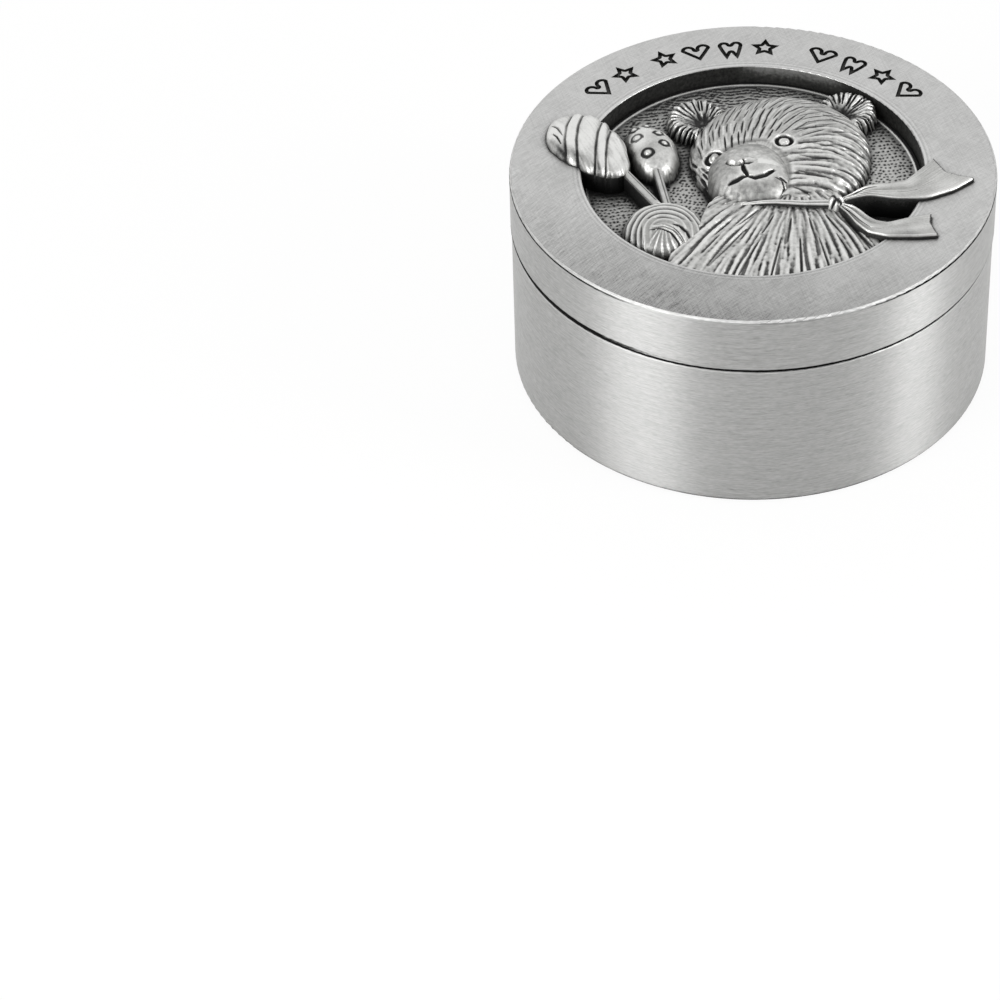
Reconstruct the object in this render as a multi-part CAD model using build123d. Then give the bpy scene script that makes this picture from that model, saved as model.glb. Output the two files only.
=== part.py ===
from build123d import *
import math
import os

# Round keepsake box for a first tooth: a turned base cup with a velvet lining,
# and a lift-off lid with a sunk medallion that carries a teddy bear in relief.
# Origin: centre of the base's underside. +Z is up, and the bear's head points to +Y.

# Driving dimensions of the metal box, in millimetres
lid_radius = 22.5
lid_overhang = 0.1          # how far the lid stands out past the base, all round
base_height = 15.6
lid_height = 5.8
base_wall = 1.65
base_floor = 1.2
foot_round = 0.45
seam_round = 0.2
lid_edge_round = 0.35
ring_width = 6.65           # the lid's flat ring, from its outer edge to the recess
recess_depth = 1.9
recess_edge_round = 0.15
lid_plate = 1.0             # metal left under the recess
cut_overrun = 1.0           # how far a cutting tool runs past what it cuts
crumb_share = 0.1           # a cut-off bit smaller than this share of its piece isn't made

# Spigot ring that plugs the lid into the base's mouth
spigot_depth = 2.8
spigot_wall = 1.1
spigot_gap = 0.08
spigot_lead_in = 0.25

# Velvet lining and the card that stiffens it
card_thickness = 0.4
wall_velvet_thickness = 0.7
wall_velvet_round = 0.25
floor_velvet_thickness = 0.9
floor_velvet_round = 0.35
lid_velvet_thickness = 0.7
lid_velvet_round = 0.35
lining_below_rim = 3.2
soft_gap = 0.3              # air between a lining piece and what it lies beside

# Medallion ground
ground_thickness = 0.8
ground_gap = 0.05

# Bear in relief, drawn to fill the recess: places and sizes in plan are shares of the recess
# radius. Heights stand on the ground, with the edge height at a form's rim and the crown height
# at its middle.
head_place_shares = (0.16, 0.25)
head_radius_share = 0.517
head_edge_height = 1.3
head_crown_height = 2.9
head_round = 0.8
muzzle_place_shares = (-0.021, -0.04)
muzzle_radius_share = 0.249
muzzle_edge_height = 2.1
muzzle_crown_height = 3.5
muzzle_round = 0.9
nose_place_shares = (-0.091, -0.035)
nose_radius_share = 0.06
nose_sunk = 0.6
nose_stand_out = 0.45
eye_places_shares = ((0.18, 0.17), (-0.224, 0.098))
eye_radius_share = 0.038
eye_sunk = 0.5
eye_stand_out = 0.4
ear_places_shares = ((-0.335, 0.53), (0.55, 0.62))
ear_radius_share = 0.18
ear_dish_radius_share = 0.095
ear_edge_height = 0.9
ear_crown_height = 1.7
ear_round = 0.4
ear_dish_depth = 0.7
paw_place_shares = (-0.5, -0.525)
paw_radius_share = 0.237
paw_edge_height = 1.2
paw_crown_height = 2.4
paw_round = 0.7
paw_fold_shares = (-0.48, -0.62)
paw_ring_shares = (0.085, 0.15, 0.21)
paw_ring_degrees = (-15.0, 205.0)
paw_groove_width = 0.35
paw_groove_depth = 0.3
mouth_shares = (
    ((-0.054, -0.1), (-0.042, -0.14), (-0.027, -0.18)),
    ((-0.027, -0.18), (0.045, -0.198), (0.114, -0.135)),
    ((-0.027, -0.18), (-0.095, -0.215), (-0.15, -0.265)),
)
mouth_width = 0.32
mouth_depth = 0.3
body_outline_shares = (
    (-0.16, -0.25),
    (-0.3, -0.62),
    (-0.46, -0.95),
    (0.0, -1.05),
    (0.55, -0.95),
    (0.76, -0.63),
    (0.6, -0.47),
    (0.47, -0.25),
)
body_middle_shares = (0.18, -0.55)
body_reach_share = 0.75
body_edge_height = 1.1
body_crown_height = 1.95

# Main grooves of the fur, in rows that fan out from a focus: its place, the row's first and last
# turn in degrees, how many grooves it has, and how far from the focus they start and end
head_fur_shares = (
    ((-0.55, 0.05), (-17.0, 17.0), 5, (0.82, 1.02)),
    ((-0.55, 0.05), (-13.0, 23.0), 5, (1.04, 1.25)),
    ((0.03, -0.13), (57.0, 112.0), 5, (0.42, 0.56)),
    ((0.03, -0.13), (50.0, 107.0), 6, (0.59, 0.8)),
    ((0.06, 0.76), (221.0, 240.0), 3, (0.48, 0.63)),
    ((0.06, 0.76), (233.0, 240.0), 2, (0.66, 0.82)),
)
body_fur_shares = (
    ((0.27, -0.04), (-128.0, -46.0), 6, (0.41, 0.64)),
    ((0.27, -0.04), (-122.0, -54.0), 7, (0.62, 1.08)),
)
head_groove_width = 0.6
head_groove_depth = 0.3
body_groove_width = 0.8
body_groove_depth = 0.35

# Rattles: an oval head on a thin handle that runs down into the paw. The striped one lies over
# the lid's ring, and its heights are counted from there.
striped_middle_shares = (-0.96, 0.18)
striped_turn_degrees = -59.0
striped_length_share = 0.67
striped_width_share = 0.46
striped_edge_stand_out = 0.6
striped_crown_stand_out = 1.3
stripe_shares = (
    ((-1.08, 0.48), (-1.125, 0.2), (-1.105, 0.0)),
    ((-1.0, 0.5), (-1.042, 0.17), (-1.02, -0.07)),
    ((-0.87, 0.42), (-0.907, 0.12), (-0.905, -0.17)),
    ((-0.8, 0.34), (-0.836, 0.08), (-0.83, -0.2)),
)
stripe_width_share = 0.025
stripe_depth = 0.25
spotted_middle_shares = (-0.59, 0.17)
spotted_turn_degrees = -79.0
spotted_length_share = 0.53
spotted_width_share = 0.33
spotted_edge_height = 1.5
spotted_crown_height = 2.4
handle_width_share = 0.05
handle_height = 1.7
handle_paw_shares = ((-0.55, -0.34), (-0.49, -0.36))

# Neck ribbon: a band round the neck, a knot and two tails that run out over the ring.
# What stands out is counted from the ring.
band_width_share = 0.054
band_stand_out = 0.1
band_shares = ((-0.2, -0.29), (0.15, -0.335), (0.46, -0.34))
knot_place_shares = (0.485, -0.335)
knot_radius_share = 0.058
knot_edge_stand_out = 0.2
knot_crown_stand_out = 0.7
tail_thickness = 0.45
upper_tail_shares = (
    ((0.52, -0.33), (0.64, -0.19), (0.79, -0.16), (0.88, -0.145), (0.955, -0.04), (1.05, 0.08)),
    ((1.05, 0.08), (1.12, -0.05), (1.28, -0.107)),
    ((1.28, -0.107), (1.17, -0.21), (1.01, -0.296), (0.83, -0.31), (0.67, -0.285), (0.52, -0.35)),
)
lower_tail_shares = (
    ((0.52, -0.38), (0.62, -0.426), (0.7, -0.51), (0.775, -0.533), (0.9, -0.48), (1.03, -0.448)),
    ((1.03, -0.448), (1.02, -0.53), (1.066, -0.64)),
    ((1.066, -0.64), (0.94, -0.655), (0.785, -0.658), (0.66, -0.626), (0.59, -0.55), (0.5, -0.42)),
)

# Engraved motifs in an arc over the medallion: h heart, s star, t tooth, in groups that each
# start at a turn from +Y
motif_groups = (("hs", 50.5), ("shts", 27.0), ("htsh", -20.0))
motif_step_degrees = 10.0
motif_size = 2.9
motif_depth = 0.3
motif_stroke = 0.38
motif_place_share = 0.444    # across the ring, from the recess to the lid's edge
star_inner_share = 0.5
star_points = 5
tooth_middle_share = 0.25
tooth_fork_shares = ((-0.35, -1.0), (0.0, -0.25), (0.35, -1.0))
tooth_side_shares = ((0.35, -1.0), (0.62, -0.25), (0.8, 0.4))
tooth_cusp_shares = ((0.8, 0.4), (0.42, 0.95), (0.0, 0.65))

# Heights and radii that follow
recess_radius = lid_radius - ring_width
motif_circle_radius = recess_radius + motif_place_share * ring_width
base_radius = lid_radius - lid_overhang
mouth_radius = base_radius - base_wall
lid_top = base_height + lid_height
ground_top = lid_top - recess_depth
recess_floor = ground_top - ground_thickness
lid_underside = recess_floor - lid_plate
spigot_radius = mouth_radius - spigot_gap
spigot_bore = spigot_radius - spigot_wall
figure_radius = recess_radius - ground_gap
lining_top = base_height - lining_below_rim
floor_lining_radius = mouth_radius - card_thickness - wall_velvet_thickness - soft_gap
head_radius = head_radius_share * recess_radius
muzzle_radius = muzzle_radius_share * recess_radius
nose_radius = nose_radius_share * recess_radius
eye_radius = eye_radius_share * recess_radius
ear_radius = ear_radius_share * recess_radius
ear_dish_radius = ear_dish_radius_share * recess_radius
paw_radius = paw_radius_share * recess_radius
knot_radius = knot_radius_share * recess_radius


def turned(points, rounds=()):
    """A solid turned about Z from (radius, height) points, with some corners rounded."""
    outline = make_face(Polyline(*[(radius, 0, height) for radius, height in points], close=True))
    for (radius, height), size in rounds:
        corner = outline.vertices().sort_by_distance((radius, 0, height))[:1]
        outline = fillet(corner, size)
    return revolve(outline, Axis.Z)


def mound(radius, edge_height, crown_height, rounding):
    """A round form with its foot at Z zero, upright sides, a rounded rim and a crowned top."""
    rise = crown_height - edge_height
    ball = (radius ** 2 + rise ** 2) / (2 * rise)
    half = radius / 2
    halfway = crown_height - ball + math.sqrt(ball ** 2 - half ** 2)
    rim = (radius, 0, edge_height)
    top = ThreePointArc(rim, (half, 0, halfway), (0, 0, crown_height))
    foot = Polyline((0, 0, crown_height), (0, 0, 0), (radius, 0, 0), rim)
    outline = make_face(top + foot)
    corner = outline.vertices().sort_by_distance(rim)[:1]
    return revolve(fillet(corner, rounding), Axis.Z)


def crown_ball(reach, edge_height, crown_height):
    """A ball whose top is at the crown height, and at the edge height a reach away from there."""
    rise = crown_height - edge_height
    ball = (reach ** 2 + rise ** 2) / (2 * rise)
    return Pos(0, 0, crown_height - ball) * Sphere(ball)


def in_plan(shares):
    """A point in plan at shares of the recess radius from the lid's middle."""
    return recess_radius * Vector(*shares)


def disc_between(radius, low, high):
    """A plain round disc from one height to another."""
    return Pos(0, 0, low) * extrude(Circle(radius), high - low)


def ring_between(outer, inner, low, high):
    """A plain flat ring from one height to another."""
    return Pos(0, 0, low) * extrude(Circle(outer) - Circle(inner), high - low)


def stand(shape, shares, height=ground_top):
    """A shape with its foot moved to a place in plan, at a height."""
    return Pos(in_plan(shares)) * Pos(0, 0, height) * shape


def in_recess(shape):
    """The part of a shape that lies in the recess, above the ground and clear of its wall."""
    return shape & disc_between(figure_radius, ground_top, lid_top + head_crown_height)


def off_the_ring(shape):
    """A shape with the room of the lid's ring taken away."""
    return shape - ring_between(lid_radius + cut_overrun, figure_radius, recess_floor, lid_top)


def base_cup():
    """The turned base with its mouth and floor."""
    return turned(
        [
            (0, 0),
            (base_radius, 0),
            (base_radius, base_height),
            (mouth_radius, base_height),
            (mouth_radius, base_floor),
            (0, base_floor),
        ],
        [
            ((base_radius, 0), foot_round),
            ((base_radius, base_height), seam_round),
            ((mouth_radius, base_height), seam_round),
        ],
    )


def lid_cover():
    """The cast lid: outer ring, recess for the medallion, skirt, and the engraved arc."""
    cover = turned(
        [
            (0, lid_underside),
            (mouth_radius, lid_underside),
            (mouth_radius, base_height),
            (lid_radius, base_height),
            (lid_radius, lid_top),
            (recess_radius, lid_top),
            (recess_radius, recess_floor),
            (0, recess_floor),
        ],
        [
            ((lid_radius, base_height), seam_round),
            ((lid_radius, lid_top), lid_edge_round),
            ((recess_radius, lid_top), recess_edge_round),
        ],
    )
    for tool in motif_tools():
        cover -= tool
    return cover


def heart():
    """A heart about its middle, with its point towards -Y."""
    lobe = motif_size / 4
    shoulder = lobe / 2
    tip = (0, -2 * lobe)
    left = ThreePointArc((-2 * lobe, shoulder), (-lobe, shoulder + lobe), (0, shoulder))
    right = ThreePointArc((0, shoulder), (lobe, shoulder + lobe), (2 * lobe, shoulder))
    sides = Polyline((2 * lobe, shoulder), tip, (-2 * lobe, shoulder))
    return make_face(left + right + sides)


def star():
    """A star about its middle, with one point towards +Y."""
    outer = motif_size / 2
    corners = []
    for step in range(2 * star_points):
        reach = outer if step % 2 == 0 else outer * star_inner_share
        angle = math.pi / 2 + step * math.pi / star_points
        corners.append((reach * math.cos(angle), reach * math.sin(angle)))
    return make_face(Polyline(*corners, close=True))


def tooth():
    """A molar about its middle: a two-cusped crown over two short roots."""
    half = motif_size / 2
    rise = tooth_middle_share * half
    fork, side, cusp = (
        [(x * half, y * half - rise) for x, y in shares]
        for shares in (tooth_fork_shares, tooth_side_shares, tooth_cusp_shares)
    )
    right = ThreePointArc(*side) + ThreePointArc(*cusp)
    return make_face(Polyline(*fork) + right + mirror(right, Plane.YZ))


def engraved(face):
    """The outline of a motif, one stroke wide."""
    return face - offset(face, amount=-motif_stroke, kind=Kind.ARC)


def motif_tools():
    """Cutting tools for the engraved groups."""
    shapes = {"h": engraved(heart()), "s": engraved(star()), "t": engraved(tooth())}
    tools = []
    for letters, first_turn in motif_groups:
        for index, letter in enumerate(letters):
            turn = first_turn - index * motif_step_degrees
            face = Rot(0, 0, turn) * Pos(0, motif_circle_radius, lid_top - motif_depth) * shapes[letter]
            tools.append(extrude(face, motif_depth + cut_overrun, dir=(0, 0, 1)))
    return tools


def lid_spigot_ring():
    """The ring under the lid that plugs into the base's mouth."""
    low = base_height - spigot_depth
    return turned(
        [
            (spigot_bore, low),
            (spigot_radius, low),
            (spigot_radius, lid_underside),
            (spigot_bore, lid_underside),
        ],
        [((spigot_radius, low), spigot_lead_in)],
    )


def lid_card_disc():
    """The card that stiffens the lid's velvet."""
    return disc_between(spigot_bore - soft_gap, lid_underside - card_thickness, lid_underside)


def lid_velvet_disc():
    """The velvet on the lid's underside."""
    top = lid_underside - card_thickness
    low = top - lid_velvet_thickness
    radius = spigot_bore - soft_gap
    return turned([(0, low), (radius, low), (radius, top), (0, top)], [((radius, low), lid_velvet_round)])


def base_wall_card():
    """The card strip behind the wall's velvet."""
    return ring_between(mouth_radius, mouth_radius - card_thickness, base_floor, lining_top)


def base_wall_velvet():
    """The velvet band round the cavity."""
    outer = mouth_radius - card_thickness
    inner = outer - wall_velvet_thickness
    return turned(
        [(inner, base_floor), (outer, base_floor), (outer, lining_top), (inner, lining_top)],
        [((inner, lining_top), wall_velvet_round)],
    )


def base_floor_card():
    """The card disc under the floor's velvet."""
    return disc_between(floor_lining_radius, base_floor, base_floor + card_thickness)


def base_floor_velvet():
    """The velvet pad on the cavity's floor."""
    low = base_floor + card_thickness
    top = low + floor_velvet_thickness
    edge = (floor_lining_radius, top)
    return turned([(0, low), (floor_lining_radius, low), edge, (0, top)], [(edge, floor_velvet_round)])


def medallion_ground():
    """The disc behind the figure."""
    return disc_between(figure_radius, recess_floor, ground_top)


def ear(shares):
    """A round ear with a hollow middle, facing up."""
    blank = mound(ear_radius, ear_edge_height, ear_crown_height, ear_round)
    ball = (ear_dish_radius ** 2 + ear_dish_depth ** 2) / (2 * ear_dish_depth)
    dish = Pos(0, 0, ear_crown_height - ear_dish_depth + ball) * Sphere(ball)
    return stand(blank - dish, shares)


def fur_grooves(rows, width):
    """The plan of rows of grooves that fan out from their focus, each pointed at both ends."""
    faces = []
    for focus_shares, (first, last), count, (near_share, far_share) in rows:
        focus = in_plan(focus_shares)
        for index in range(count):
            turn = math.radians(first + (last - first) * index / (count - 1))
            ahead = Vector(math.cos(turn), math.sin(turn))
            aside = Vector(-math.sin(turn), math.cos(turn)) * (width / 2)
            start = focus + ahead * (near_share * recess_radius)
            end = focus + ahead * (far_share * recess_radius)
            middle = (start + end) / 2
            sides = ThreePointArc(start, middle + aside, end) + ThreePointArc(end, middle - aside, start)
            faces.append(make_face(sides))
    return faces


def grooved(blank, faces, floor):
    """A form with grooves of a given plan cut into it, down to a floor that lies inside it."""
    high = blank.bounding_box().max.Z + cut_overrun - ground_top
    tools = [Pos(0, 0, ground_top) * extrude(face, high, dir=(0, 0, 1)) - floor for face in faces]
    for tool in tools:
        blank = blank - tool
    return blank


def lines_in_plan(arcs, width):
    """The plan of curved lines, each an arc through three places."""
    return [trace(ThreePointArc(*[in_plan(shares) for shares in arc]), width) for arc in arcs]


def head_blank(lower=0):
    """The head before its neighbours are let into it, or the same form made smaller all round."""
    blank = mound(head_radius - lower, head_edge_height - lower, head_crown_height - lower, head_round)
    return stand(blank, head_place_shares)


def muzzle_blank(lower=0):
    """The muzzle before the nose is let into it, or the same form made smaller all round."""
    edge, crown = muzzle_edge_height - lower, muzzle_crown_height - lower
    return stand(mound(muzzle_radius - lower, edge, crown, muzzle_round), muzzle_place_shares)


def crown_height_at(shares, middle_shares, radius, edge_height, crown_height):
    """The height of a mound's crown at a place in plan."""
    away = (in_plan(shares) - in_plan(middle_shares)).length
    rise = crown_height - edge_height
    ball = (radius ** 2 + rise ** 2) / (2 * rise)
    return crown_height - ball + math.sqrt(ball ** 2 - away ** 2)


def eye(shares):
    """A bead eye, half sunk in the head."""
    surface = crown_height_at(
        shares, head_place_shares, head_radius, head_edge_height, head_crown_height
    )
    bead = mound(eye_radius, eye_sunk, eye_sunk + eye_stand_out, eye_radius / 4)
    return stand(bead, shares, ground_top + surface - eye_sunk)


def nose():
    """A small button nose let into the muzzle."""
    surface = crown_height_at(
        nose_place_shares, muzzle_place_shares, muzzle_radius, muzzle_edge_height, muzzle_crown_height
    )
    button = mound(nose_radius, nose_sunk + nose_stand_out / 2, nose_sunk + nose_stand_out, nose_radius / 4)
    return stand(button, nose_place_shares, ground_top + surface - nose_sunk)


def paw_blank(lower=0):
    """The paw without its fur, or the same form made smaller all round."""
    return stand(
        mound(paw_radius - lower, paw_edge_height - lower, paw_crown_height - lower, paw_round),
        paw_place_shares,
    )


def paw():
    """The paw that holds the rattles, with the fur's rings about its fold."""
    first, last = paw_ring_degrees
    fold = in_plan(paw_fold_shares)
    rings = [CenterArc(fold, share * recess_radius, first, last - first) for share in paw_ring_shares]
    faces = [trace(ring, paw_groove_width) for ring in rings]
    return in_recess(grooved(paw_blank(), faces, paw_blank(paw_groove_depth)))


def body_ball(lower=0):
    """The ball that crowns the chest, or the same ball lowered."""
    ball = crown_ball(body_reach_share * recess_radius, body_edge_height, body_crown_height)
    return stand(ball, body_middle_shares, ground_top - lower)


def body_blank():
    """The chest: its outline raised to a crowned top."""
    corners = [in_plan(shares) for shares in body_outline_shares]
    sides = extrude(make_face(Polyline(*corners, close=True)), body_crown_height, dir=(0, 0, 1))
    return in_recess((Pos(0, 0, ground_top) * sides) & body_ball())


def rattle_ball(length_share, edge_height, crown_height):
    """The ball that crowns a rattle's head."""
    return crown_ball(length_share * recess_radius / 2, edge_height, crown_height)


def oval_head(length_share, width_share, edge_height, crown_height):
    """A rattle's oval head with a crowned top, its length along X."""
    face = SlotOverall(length_share * recess_radius, width_share * recess_radius)
    return extrude(face, crown_height) & rattle_ball(length_share, edge_height, crown_height)


def rattle(head, middle_shares, turn, grip_shares):
    """A rattle in place: its head and the straight handle that runs into the paw."""
    line = Line(in_plan(middle_shares), in_plan(grip_shares))
    handle = extrude(trace(line, handle_width_share * recess_radius), handle_height, dir=(0, 0, 1))
    return off_the_ring(stand(Rot(0, 0, turn) * head, middle_shares) + Pos(0, 0, ground_top) * handle)


def striped_rattle():
    """The striped rattle, whose stripes are curved grooves over its head."""
    edge, crown = recess_depth + striped_edge_stand_out, recess_depth + striped_crown_stand_out
    head = oval_head(striped_length_share, striped_width_share, edge, crown)
    whole = rattle(head, striped_middle_shares, striped_turn_degrees, handle_paw_shares[0])
    ball = rattle_ball(striped_length_share, edge, crown)
    floor = stand(ball, striped_middle_shares, ground_top - stripe_depth)
    return grooved(whole, lines_in_plan(stripe_shares, stripe_width_share * recess_radius), floor)


def neck_band():
    """The ribbon band that crosses the neck."""
    line = ThreePointArc(*[in_plan(shares) for shares in band_shares])
    strip = trace(line, band_width_share * recess_radius)
    return Pos(0, 0, ground_top) * extrude(strip, recess_depth + band_stand_out, dir=(0, 0, 1))


def knot():
    """The round knot where the band and the tails meet."""
    edge, crown = recess_depth + knot_edge_stand_out, recess_depth + knot_crown_stand_out
    return stand(mound(knot_radius, edge, crown, knot_radius / 4), knot_place_shares)


def tail(edge_shares):
    """One ribbon tail, from the ground up to its flat face just over the ring."""
    top, end, bottom = (Spline(*[in_plan(shares) for shares in edge]) for edge in edge_shares)
    outline = make_face(top + end + bottom + Line(bottom @ 1, top @ 0))
    blank = extrude(outline, recess_depth + tail_thickness, dir=(0, 0, 1))
    return off_the_ring(Pos(0, 0, ground_top) * blank)


def less(shape, *others):
    """A shape with others cut out of it, without the crumbs that leaves."""
    for other in others:
        shape = shape - other
    solids = shape.solids()
    largest = max(solid.volume for solid in solids)
    kept = [solid for solid in solids if solid.volume > crumb_share * largest]
    return kept[0] if len(kept) == 1 else Compound(kept)


def figure():
    """Every piece of the relief, each let into the next so that they meet face to face."""
    head, muzzle, nose_piece, knot_piece, paw_piece = head_blank(), muzzle_blank(), nose(), knot(), paw()
    ears = [less(in_recess(ear(shares)), head) for shares in ear_places_shares]
    eyes = [less(eye(shares), muzzle) for shares in eye_places_shares]
    band = less(neck_band(), knot_piece, muzzle, paw_blank())
    striped = striped_rattle()
    spotted_head = oval_head(
        spotted_length_share, spotted_width_share, spotted_edge_height, spotted_crown_height
    )
    spotted = rattle(spotted_head, spotted_middle_shares, spotted_turn_degrees, handle_paw_shares[1])
    upper = less(tail(upper_tail_shares), knot_piece, head, band)
    lower = less(tail(lower_tail_shares), knot_piece, head, band, upper)
    mouth = lines_in_plan(mouth_shares, mouth_width)
    head_fur = fur_grooves(head_fur_shares, head_groove_width)
    furred_head = grooved(head, head_fur, head_blank(head_groove_depth))
    body = less(body_blank(), head, muzzle, band, knot_piece, paw_blank(), upper, lower)
    body_fur = fur_grooves(body_fur_shares, body_groove_width)
    furred_body = grooved(body, body_fur, body_ball(body_groove_depth))
    return {
        "bear_eyes": Compound(eyes),
        "bear_nose": nose_piece,
        "bear_muzzle": less(grooved(muzzle, mouth, muzzle_blank(mouth_depth)), nose_piece),
        "bear_head": less(furred_head, muzzle, *eyes, band, knot_piece),
        "bear_left_ear": ears[0],
        "bear_right_ear": ears[1],
        "bear_body": less(furred_body),
        "bear_paw": less(paw_piece),
        "striped_rattle": less(striped, paw_blank()),
        "spotted_rattle": less(spotted, striped, paw_blank(), head, *ears),
        "neck_ribbon": band,
        "ribbon_knot": knot_piece,
        "upper_ribbon_tail": upper,
        "lower_ribbon_tail": lower,
    }


pieces = {
    "base_cup": base_cup(),
    "base_wall_card": base_wall_card(),
    "base_wall_velvet": base_wall_velvet(),
    "base_floor_card": base_floor_card(),
    "base_floor_velvet": base_floor_velvet(),
    "lid_cover": lid_cover(),
    "lid_spigot_ring": lid_spigot_ring(),
    "lid_card_disc": lid_card_disc(),
    "lid_velvet_disc": lid_velvet_disc(),
    "medallion_ground": medallion_ground(),
    **figure(),
}
os.makedirs("parts", exist_ok=True)
for name, shape in pieces.items():
    export_step(shape, f"parts/{name}.step")
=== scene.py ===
import math

import bmesh
import bpy
import numpy as np
from mathutils import Matrix


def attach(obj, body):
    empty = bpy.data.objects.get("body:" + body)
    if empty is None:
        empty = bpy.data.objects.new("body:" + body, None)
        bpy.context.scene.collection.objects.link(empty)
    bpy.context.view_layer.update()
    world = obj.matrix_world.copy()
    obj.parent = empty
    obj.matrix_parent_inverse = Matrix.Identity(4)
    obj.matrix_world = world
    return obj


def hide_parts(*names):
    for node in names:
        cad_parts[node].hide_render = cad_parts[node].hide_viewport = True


# Round pewter keepsake box for a first tooth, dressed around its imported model: satin and brushed
# metal, a blackened recess with a teddy bear in relief, and a black velvet lining.
# Meshes are in metres. Everything that is worked out before a mesh is written is in millimetres,
# with x to the right, y to the back and z up from the foot of the box.

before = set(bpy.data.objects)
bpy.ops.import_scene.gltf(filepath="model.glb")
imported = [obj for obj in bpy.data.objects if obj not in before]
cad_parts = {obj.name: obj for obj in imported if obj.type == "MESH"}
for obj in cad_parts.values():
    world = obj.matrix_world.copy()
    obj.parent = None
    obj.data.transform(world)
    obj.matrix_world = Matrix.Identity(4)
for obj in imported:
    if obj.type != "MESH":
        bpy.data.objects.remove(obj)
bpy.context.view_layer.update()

MM = 0.001

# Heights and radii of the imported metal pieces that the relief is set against
lid_top = 21.4
ground_top = 19.5
recess_floor = 18.7
recess_radius = 15.85
ground_radius = 15.8
lid_radius = 22.5

# How far a cast piece goes into what it stands on
sink = 0.05
# Height over which a cast piece's bright rim turns to its wall, which carries painted shade
lip = 0.14

chance = np.random.default_rng(7)


def smooth_step(low, high, value):
    """0 below low and 1 above high, with a smooth rise between."""
    share = np.clip((value - low) / (high - low), 0, 1)
    return share * share * (3 - 2 * share)


def blurred(heights, reach, step):
    """A square map of heights with everything smaller than the reach smoothed away."""
    across = np.fft.fftfreq(heights.shape[1])
    up = np.fft.fftfreq(heights.shape[0])
    keep = np.exp(-2 * (np.pi * reach / step) ** 2 * (across[None, :] ** 2 + up[:, None] ** 2))
    return np.real(np.fft.ifft2(np.fft.fft2(heights) * keep))


def picked(heights, reach, step, x, y):
    """The heights of a square map, which spans the reach to each side of zero, at given points."""
    last = heights.shape[0] - 1.001
    column = np.clip((x + reach) / step, 0, last)
    row = np.clip((y + reach) / step, 0, last)
    left, low = column.astype(int), row.astype(int)
    right, high = column - left, row - low
    lower = heights[low, left] * (1 - right) + heights[low, left + 1] * right
    upper = heights[low + 1, left] * (1 - right) + heights[low + 1, left + 1] * right
    return lower * (1 - high) + upper * high


class Carving:
    """Heights in millimetres over a piece, drawn as a carver would cut and raise its surface, and
    tones, which say how much brighter or darker a place was left."""

    def __init__(self, reach, step=0.04):
        self.reach = reach
        self.step = step
        side = np.arange(-reach, reach + step, step)
        self.x, self.y = np.meshgrid(side, side)
        self.heights = np.zeros_like(self.x)
        self.tones = np.zeros_like(self.x)

    def band(self, path, width, blunt):
        """The part of the map round a path, and the share of a rounded band along the path at each
        of its points. The band tapers at both ends, or hardly at all where blunt is small."""
        path = np.array(path, float)
        low = ((path.min(axis=0) - width + self.reach) / self.step).astype(int)
        high = ((path.max(axis=0) + width + self.reach) / self.step).astype(int) + 2
        low = np.clip(low, 0, len(self.x))
        high = np.clip(high, 0, len(self.x))
        part = np.s_[low[1]:high[1], low[0]:high[0]]
        x, y = self.x[part], self.y[part]
        lengths = np.linalg.norm(np.diff(path, axis=0), axis=1)
        starts = np.concatenate([[0], np.cumsum(lengths)])
        nearest = np.full(x.shape, np.inf)
        place = np.zeros(x.shape)
        for (ax, ay), (bx, by), start, length in zip(path[:-1], path[1:], starts, lengths):
            dx, dy = bx - ax, by - ay
            share = np.clip(((x - ax) * dx + (y - ay) * dy) / length ** 2, 0, 1)
            away = np.hypot(x - ax - share * dx, y - ay - share * dy)
            closer = away < nearest
            nearest = np.where(closer, away, nearest)
            place = np.where(closer, (start + share * length) / starts[-1], place)
        half = 0.5 * width * np.clip(np.sin(np.pi * (0.04 + 0.92 * place)), 0.02, 1) ** blunt
        return part, np.clip(1 - (nearest / half) ** 2, 0, 1)

    def cut(self, path, width, depth, blunt=0.6, dark=0.0):
        """A groove with dark patina left in it."""
        part, share = self.band(path, width, blunt)
        self.heights[part] = self.heights[part] * (1 - share) - depth * share
        self.tones[part] = np.minimum(self.tones[part], -dark * share)

    def raise_ridge(self, path, width, height, blunt=0.4):
        """A rounded ridge laid on what is there."""
        part, share = self.band(path, width, blunt)
        self.heights[part] = np.maximum(self.heights[part], height * share)

    def grain(self, size):
        """Noise of a given size, with a spread of one."""
        noise = blurred(chance.normal(size=self.x.shape), size, self.step)
        return noise / noise.std()

    def combed(self, flow, long, fine):
        """Strands that follow a flow: noise of a given spacing, drawn out along it to a given
        length, with a spread of one."""
        noise = chance.normal(size=self.x.shape)
        noise = blurred(noise, 0.24 * fine, self.step) - blurred(noise, 0.55 * fine, self.step)
        total = np.zeros_like(self.x)
        stride = max(0.6 * fine, 0.12) * 0.5
        count = int(0.5 * long / stride)
        for way in (-1, 1):
            x, y = self.x.copy(), self.y.copy()
            for index in range(count):
                weight = 0.5 + 0.5 * math.cos(math.pi * index / count)
                total += weight * picked(noise, self.reach, self.step, x, y)
                turn = np.radians(flow(x, y))
                x += way * stride * np.cos(turn)
                y += way * stride * np.sin(turn)
        spread = np.sqrt(blurred(total ** 2, 2.0, self.step).clip(1e-9))
        return total / spread

    def fur(self, flow, long, fine, height, groove):
        """A combed coat: plump strands with narrow cuts between them, as heights."""
        strands = self.combed(flow, long, fine)
        cuts = smooth_step(0.3, 1.2, -strands)
        crests = np.clip(strands, -1.1, 1.6) / 1.5
        return height * crests - groove * cuts


def one_way(turn):
    """A flow in one direction, in degrees."""
    return lambda x, y: np.full(x.shape, float(turn))


def turned_by(turn):
    """A step of one in a direction given in degrees."""
    return np.array([math.cos(math.radians(turn)), math.sin(math.radians(turn))])


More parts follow.
